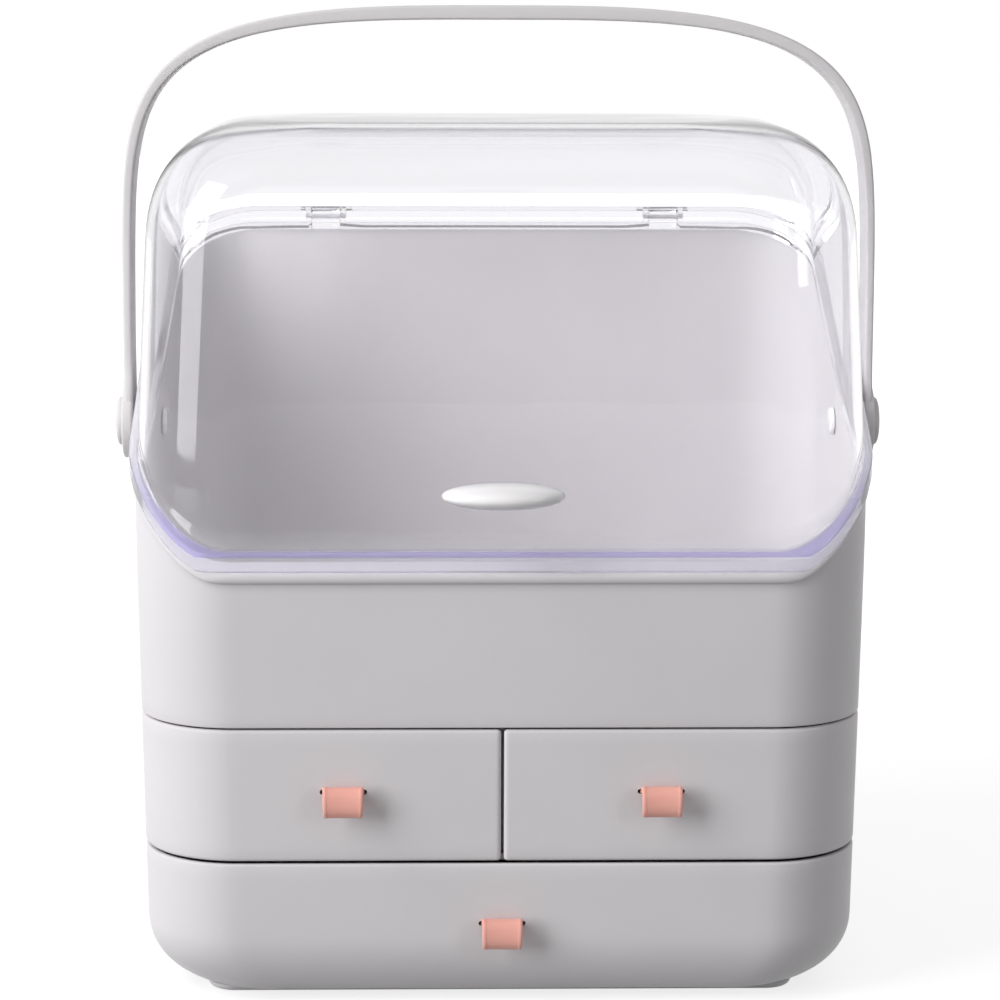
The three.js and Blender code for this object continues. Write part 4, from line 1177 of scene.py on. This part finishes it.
class ORGANIZER_OT_hinges(bpy.types.Operator):
    """Make the hinge brackets, pins and screws"""

    bl_idname = "organizer.hinges"
    bl_label = "Hinges"

    def execute(self, context):
        form = form_of(context)
        lid = context.scene.organizer_lid
        height, depth, _ = hinge_places(lid)
        radius = lid.knuckle_radius
        outline, top, back = bracket_outline(form, lid)
        places = []
        for side, name in SIDES:
            middle = side * lid.hinge_offset
            made = loft(f"hinge_bracket_clear_{name}", [
                [(middle + end * lid.bracket_width / 2, y, z) for y, z in outline]
                for end in (-1, 1)])
            made = bevel(made, 0.0006)
            for end in (-1, 1):
                inside = middle + end * (lid.knuckle_width / 2 + FIT)
                outside = inside + end * lid.ear_thickness
                ear = rod("ear", radius, (inside, depth, height), (outside, depth, height))
                stem = block("stem", (min(inside, outside), depth - radius, top - FIT),
                             (max(inside, outside), depth + radius, height))
                join(made, bevel(ear, 0.0003, 2), bevel(stem, 0.0002, 2))
            drill(made, HINGE_HOLE, (middle - 0.012, depth, height),
                  (middle + 0.012, depth, height), 32)
            for index in (1, 2):
                x, _, z = middle_of(f"hinge_screw_{name}_{index}")
                places.append((x, back + FIT, z))
                drill(made, SCREW_HOLE, (x, back - 0.02, z), (x, back + 0.004, z), 24)
            finish(smooth(made), "box", "clear", f"hinge_bracket_{name}")
            pin_low, pin_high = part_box(f"hinge_pin_{name}")
            profile = rounded_profile(HINGE_PIN, pin_high.x - pin_low.x, 0.0003, 3)
            pin = turned(f"hinge_pin_white_{name}", profile, (pin_low.x, depth, height),
                         (1, 0, 0), 32)
            finish(smooth(pin), "box", "white", f"hinge_pin_{name}")
        length = back + FIT - screw_tip(form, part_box("hinge_screw_left_1")[0].z)
        repeated("hinge_screws", screw_tree(), places, (0, 1, 0),
                 {"Head Radius": 0.0024, "Head Height": 0.0014, "Shank Radius": 0.0013,
                  "Shank Length": length}, "box", "steel",
                 [f"hinge_screw_{name}_{index}" for _, name in SIDES for index in (1, 2)])
        return {"FINISHED"}


def tab_height(drawers, tab):
    """Height that the outline of a tab is laid out from."""
    crown = max(rise for _, rise in TAB_SHARES) * drawers.tab_tall
    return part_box(tab)[1].z - drawers.tab_thickness / 2 - crown


class ORGANIZER_OT_fronts(bpy.types.Operator):
    """Make the three curved drawer fronts"""

    bl_idname = "organizer.fronts"
    bl_label = "Drawer fronts"

    def execute(self, context):
        form = form_of(context)
        drawers = context.scene.organizer_drawers
        wrap = form.front + drawers.wrap_depth
        half_gap = drawers.gap / 2
        slot_width = drawers.tab_width / 2 + 0.0011
        slot_tall = drawers.tab_thickness / 2 + 0.00015
        for drawer, limits in zip(DRAWERS, ((None, -half_gap), (half_gap, None), (None, None))):
            low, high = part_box(f"{drawer}_front")
            heights = wall_heights(form, low.z, high.z, 10)
            grids = [np.array([form.path(z, inset, wrap, False, FRONT_COLUMNS, *limits)
                               for z in heights]) for inset in (0.0, drawers.front_thickness)]
            made = bevel(panel(f"{drawer}_face", *grids), drawers.edge)
            level = tab_height(drawers, f"{drawer}_tab") + TAB_SHARES[0][1] * drawers.tab_tall
            face = form.face(level, form.box.bin_draft)
            tab_x = middle_of(f"{drawer}_tab").x
            slot = block("slot", (tab_x - slot_width, face - 0.003, level - slot_tall),
                         (tab_x + slot_width, face + 0.008, level + slot_tall))
            combine(made, "DIFFERENCE", bevel(slot, 0.0008, 3))
            finish(smooth(made), drawer, "drawer_front", f"{drawer}_front")
        return {"FINISHED"}


class ORGANIZER_OT_trays(bpy.types.Operator):
    """Make the trays and the clips of the tabs"""

    bl_idname = "organizer.trays"
    bl_label = "Trays"

    def execute(self, context):
        for drawer in DRAWERS:
            for name, node, edge, look in (("tray_shell", "tray", 0.0004, "tray"),
                                           ("clip", "tab_clip", 0.0003, "white")):
                made = bevel(from_node(f"{drawer}_{name}", f"{drawer}_{node}"), edge, 2, 50)
                finish(smooth(made), drawer, look, f"{drawer}_{node}")
        return {"FINISHED"}


def spline(points, steps):
    """Smooth line through points."""
    points = np.array(points, float)
    padded = np.vstack([points[0], points, points[-1]])
    line = []
    for index in range(len(points) - 1):
        before, here, after, beyond = padded[index:index + 4]
        for step in range(steps):
            t = step / steps
            line.append(0.5 * (2 * here + (after - before) * t
                               + (2 * before - 5 * here + 4 * after - beyond) * t**2
                               + (3 * here - before - 3 * after + beyond) * t**3))
    return np.array([*line, points[-1]])


def tab_section(half_width, half_thickness, dish):
    """Section of a tab: round at both sides, with a slightly sunk middle on its outer face."""
    turns = [math.pi * step / 8 - math.pi / 2 for step in range(9)]
    ends = [(half_width - half_thickness + half_thickness * math.cos(turn),
             half_thickness * math.sin(turn)) for turn in turns]
    rim = half_width - 0.0012
    sunk = [(rim - inset, half_thickness - dish * depth)
            for inset, depth in ((0, 0), (0.0002, 0.2), (0.0004, 0.8), (0.0006, 1))]
    return [*ends, *sunk, (0.0, half_thickness - dish), *[(-x, y) for x, y in reversed(sunk)],
            *[(-x, -y) for x, y in ends]]


def tab_strip(form, drawers, name, height, low, high):
    """A level tongue that rises from its slot and curls over and down to a round tip."""
    face = form.face(height, form.box.bin_draft)
    middle_x = (low.x + high.x) / 2
    curl = spline([(face - out * drawers.tab_reach, height + rise * drawers.tab_tall)
                   for out, rise in TAB_SHARES], 5)
    middle = np.vstack([[(high.y, height + TAB_SHARES[0][1] * drawers.tab_tall)], curl])
    along = np.gradient(middle, axis=0)
    along[0] = middle[1] - middle[0]
    along /= np.hypot(along[:, 0], along[:, 1])[:, None]
    half = drawers.tab_thickness / 2
    spots = [(place, course, 1.0, 0.0) for place, course in zip(middle, along)]
    for step in range(1, 7):
        angle = math.pi / 2 * step / 7
        spots.append((middle[-1] + along[-1] * math.sin(angle) * half, along[-1],
                      math.cos(angle), half * (1 - math.cos(angle))))
    rings = []
    for index, (place, course, fullness, shrink) in enumerate(spots):
        taper = 0.0004 * min(1.0, index / len(middle)) + shrink
        dish = 0.00018 * fullness if index > 8 else 0.0
        section = tab_section(drawers.tab_width / 2 - taper, half * fullness, dish)
        rings.append([(middle_x + across, place[0] + course[1] * out, place[1] - course[0] * out)
                      for across, out in section])
    return loft(name, rings)


class ORGANIZER_OT_tabs(bpy.types.Operator):
    """Make the three curled pull tabs"""

    bl_idname = "organizer.tabs"
    bl_label = "Pull tabs"

    def execute(self, context):
        drawers = context.scene.organizer_drawers
        for drawer in DRAWERS:
            tab = f"{drawer}_tab"
            made = tab_strip(form_of(context), drawers, f"{drawer}_pull_tab",
                             tab_height(drawers, tab), *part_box(tab))
            finish(smooth(made, 50), drawer, "tab", tab)
        return {"FINISHED"}


def cap_profile(radius, tall):
    return [(radius * out, tall * up) for out, up in CAP_SHARES]


class ORGANIZER_OT_handle(bpy.types.Operator):
    """Make the strap handle and its outer caps"""

    bl_idname = "organizer.handle"
    bl_label = "Handle"

    def execute(self, context):
        handle = context.scene.organizer_handle
        low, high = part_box("handle_strap")
        _, y, z = middle_of("pivot_outer_cap_right")
        lobe_edge = 0.0009
        mesh = bpy.data.meshes.new("handle_arch")
        mesh.from_pydata([(0, 0, 0)], [], [])
        values = (high.x - lobe_edge, high.z - z, z, y, handle.side_power, handle.top_power,
                  handle.strap_width, handle.end_thickness, handle.top_thickness, handle.edge,
                  handle.flare)
        made = run_tree(show("handle_arch", mesh), strap_tree(), dict(zip(STRAP_SIZES, values)),
                        "handle")
        for side, name in SIDES:
            washer_low, washer_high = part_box(f"pivot_washer_{name}")
            start = max(abs(washer_low.x), abs(washer_high.x)) + FIT
            lobe = rounded_profile(z - low.z, high.x - start, lobe_edge)
            join(made, turned("lobe", lobe, (side * start, y, z), (side, 0, 0), 96))
            # A hole of 48 steps leaves open edges in the left end of the strap
            drill(made, PIVOT_HOLE, (side * (start - OVERRUN), y, z),
                  (side * (high.x + OVERRUN), y, z), 46)
            cap_low, cap_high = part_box(f"pivot_outer_cap_{name}")
            cap = turned(f"pivot_cap_outer_{name}",
                         cap_profile((cap_high.z - cap_low.z) / 2, abs(cap_high.x - cap_low.x)),
                         (side * min(abs(cap_low.x), abs(cap_high.x)), y, z), (side, 0, 0), 72)
            finish(smooth(cap), "handle", "handle", f"pivot_outer_cap_{name}")
        finish(smooth(made), "handle", "handle", "handle_strap")
        return {"FINISHED"}


class ORGANIZER_OT_pivots(bpy.types.Operator):
    """Make the washers, pins and inner caps of the handle"""

    bl_idname = "organizer.pivots"
    bl_label = "Pivots"

    def execute(self, context):
        soft = 0.0002
        bore = PIVOT_HOLE + soft
        for side, name in SIDES:
            low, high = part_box(f"pivot_washer_{name}")
            _, y, z = (low + high) / 2
            tall, radius = high.x - low.x, (high.z - low.z) / 2
            ring = [(bore, 0), (radius - soft, 0), (radius, soft), (radius, tall - soft),
                    (radius - soft, tall), (bore, tall), (PIVOT_HOLE, tall - soft),
                    (PIVOT_HOLE, soft), (bore, 0)]
            washer = turned(f"pivot_washer_white_{name}", ring, (low.x, y, z), (1, 0, 0), 64)
            finish(smooth(washer), "box", "white", f"pivot_washer_{name}")
            low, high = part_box(f"pivot_pin_{name}")
            pin = turned(f"pivot_pin_white_{name}",
                         rounded_profile(PIVOT_PIN, high.x - low.x, 0.0004, 3),
                         (low.x, y, z), (1, 0, 0), 48)
            finish(smooth(pin), "box", "white", f"pivot_pin_{name}")
            low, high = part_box(f"pivot_inner_cap_{name}")
            cap = turned(f"pivot_cap_inner_{name}",
                         cap_profile((high.z - low.z) / 2, high.x - low.x),
                         (side * max(abs(low.x), abs(high.x)), y, z), (-side, 0, 0), 56)
            finish(smooth(cap), "box", "white", f"pivot_inner_cap_{name}")
        return {"FINISHED"}


CAMERA_PLACE = (-0.0253, -1.241, 0.3906)
CAMERA_YAW = math.radians(1.20)
CAMERA_PITCH = math.radians(9.45)
CAMERA_ROLL = math.radians(0.16)


def make_camera(context):
    """Camera that sees the box as the photograph shows it."""
    lens = bpy.data.cameras.new("camera")
    lens.lens = context.scene.organizer_stage.lens
    lens.sensor_width = 36.0
    lens.sensor_fit = "HORIZONTAL"
    camera = show("camera", lens)
    flat = math.cos(CAMERA_PITCH)
    forward = Vector((math.sin(CAMERA_YAW) * flat, math.cos(CAMERA_YAW) * flat,
                      -math.sin(CAMERA_PITCH)))
    level = Vector((math.cos(CAMERA_YAW), -math.sin(CAMERA_YAW), 0))
    right = level * math.cos(CAMERA_ROLL) + level.cross(forward) * math.sin(CAMERA_ROLL)
    turn = Matrix((right, right.cross(forward), -forward)).transposed().to_4x4()
    camera.matrix_world = Matrix.Translation(CAMERA_PLACE) @ turn
    context.scene.camera = camera


def add_lamp(name, place, target, width, height, watts):
    data = bpy.data.lights.new(name, "AREA")
    data.shape = "RECTANGLE"
    data.size, data.size_y = width, height
    data.energy = watts
    lamp = show(name, data)
    lamp.location = place
    lamp.rotation_euler = (Vector(target) - Vector(place)).to_track_quat("-Z", "Y").to_euler()
    return lamp


def seen_directly(tree):
    """One for what the camera sees, also in gloss and through glass, and nothing for light
    that falls on a matt surface."""
    path = tree.nodes.new("ShaderNodeLightPath").outputs
    seen = maths(tree, "MAXIMUM", path["Is Camera Ray"], path["Is Glossy Ray"])
    seen = maths(tree, "MAXIMUM", seen, path["Is Transmission Ray"])
    return maths(tree, "MULTIPLY", seen, maths(tree, "LESS_THAN", path["Diffuse Depth"], 0.5))


def make_world(context):
    """White to look at, and a weak even light on the box."""
    fill = context.scene.organizer_stage.fill
    world = bpy.data.worlds.new("studio")
    context.scene.world = world
    world.use_nodes = True
    tree = world.node_tree
    tree.nodes.clear()
    strength = maths(tree, "ADD", maths(tree, "MULTIPLY", seen_directly(tree), 1.0 - fill), fill)
    light = add_node(tree, "ShaderNodeBackground", {"Color": (1, 1, 1, 1), "Strength": strength})
    output = tree.nodes.new("ShaderNodeOutputWorld")
    tree.links.new(light.outputs[0], output.inputs["Surface"])


def make_floor(context):
    """Grey floor that glows white to the eye and takes the shadow of the box."""
    half = 6.0
    mesh = bpy.data.meshes.new("floor")
    mesh.from_pydata([(-half, -half, 0), (half, -half, 0), (half, half, 0), (-half, half, 0)], [],
                     [(0, 1, 2, 3)])
    floor = show("floor", mesh)
    floor.location.z = -0.0002
    material, tree, output, place = new_material("floor")
    shader = add_node(tree, "ShaderNodeBsdfPrincipled", {
        "Base Color": (*context.scene.organizer_stage.floor, 1), "Roughness": 0.6})
    away = vector_maths(tree, "LENGTH", place)["Value"]
    strength = maths(tree, "MULTIPLY", seen_directly(tree),
                     between(tree, away, 0.78, 1.0, low_from=0.4, high_from=1.3))
    glow = add_node(tree, "ShaderNodeEmission", {"Color": (1, 1, 1, 1), "Strength": strength})
    both = add_node(tree, "ShaderNodeAddShader", {0: shader.outputs[0], 1: glow.outputs[0]})
    tree.links.new(both.outputs[0], output.inputs["Surface"])
    mesh.materials.append(material)


class ORGANIZER_OT_stage(bpy.types.Operator):
    """Make the camera, lamps, floor and background"""

    bl_idname = "organizer.stage"
    bl_label = "Stage"

    def execute(self, context):
        context.scene.view_settings.view_transform = "Standard"
        stage = context.scene.organizer_stage
        make_camera(context)
        make_world(context)
        make_floor(context)
        key = add_lamp("key", place=(-1.72, -1.02, 1.12), target=(0, 0, 0.17), width=1.1,
                       height=2.3, watts=stage.key_power)
        key.visible_glossy = False
        add_lamp("side", place=(1.45, -1.35, 0.75), target=(0, 0, 0.22), width=0.4, height=0.9,
                 watts=stage.side_power)
        return {"FINISHED"}


GROUPS = {
    "organizer_box": OrganizerBox,
    "organizer_lid": OrganizerLid,
    "organizer_drawers": OrganizerDrawers,
    "organizer_handle": OrganizerHandle,
    "organizer_colours": OrganizerColours,
    "organizer_stage": OrganizerStage,
}
STEPS = (ORGANIZER_OT_upper_bin, ORGANIZER_OT_tiers, ORGANIZER_OT_foot, ORGANIZER_OT_lid,
         ORGANIZER_OT_knob, ORGANIZER_OT_hinges, ORGANIZER_OT_fronts, ORGANIZER_OT_trays,
         ORGANIZER_OT_tabs, ORGANIZER_OT_handle, ORGANIZER_OT_pivots, ORGANIZER_OT_stage)


class ORGANIZER_PT_panel(bpy.types.Panel):
    """Sizes, colours and build steps of the makeup organizer"""

    bl_label = "Makeup organizer"
    bl_space_type = "VIEW_3D"
    bl_region_type = "UI"
    bl_category = "Organizer"

    def draw(self, context):
        for step in STEPS:
            self.layout.operator(step.bl_idname)
        for attribute, group in GROUPS.items():
            column = self.layout.column(align=True)
            for key in group.__annotations__:
                column.prop(getattr(context.scene, attribute), key)


CLASSES = (*GROUPS.values(), *STEPS, ORGANIZER_PT_panel)


def register():
    for made in CLASSES:
        bpy.utils.register_class(made)
    for attribute, group in GROUPS.items():
        setattr(bpy.types.Scene, attribute, PointerProperty(type=group))


def unregister():
    for attribute in GROUPS:
        delattr(bpy.types.Scene, attribute)
    for made in reversed(CLASSES):
        bpy.utils.unregister_class(made)


def main():
    register()
    for step in STEPS:
        area, name = step.bl_idname.split(".")
        getattr(getattr(bpy.ops, area), name)()


if __name__ == "__main__":
    main()
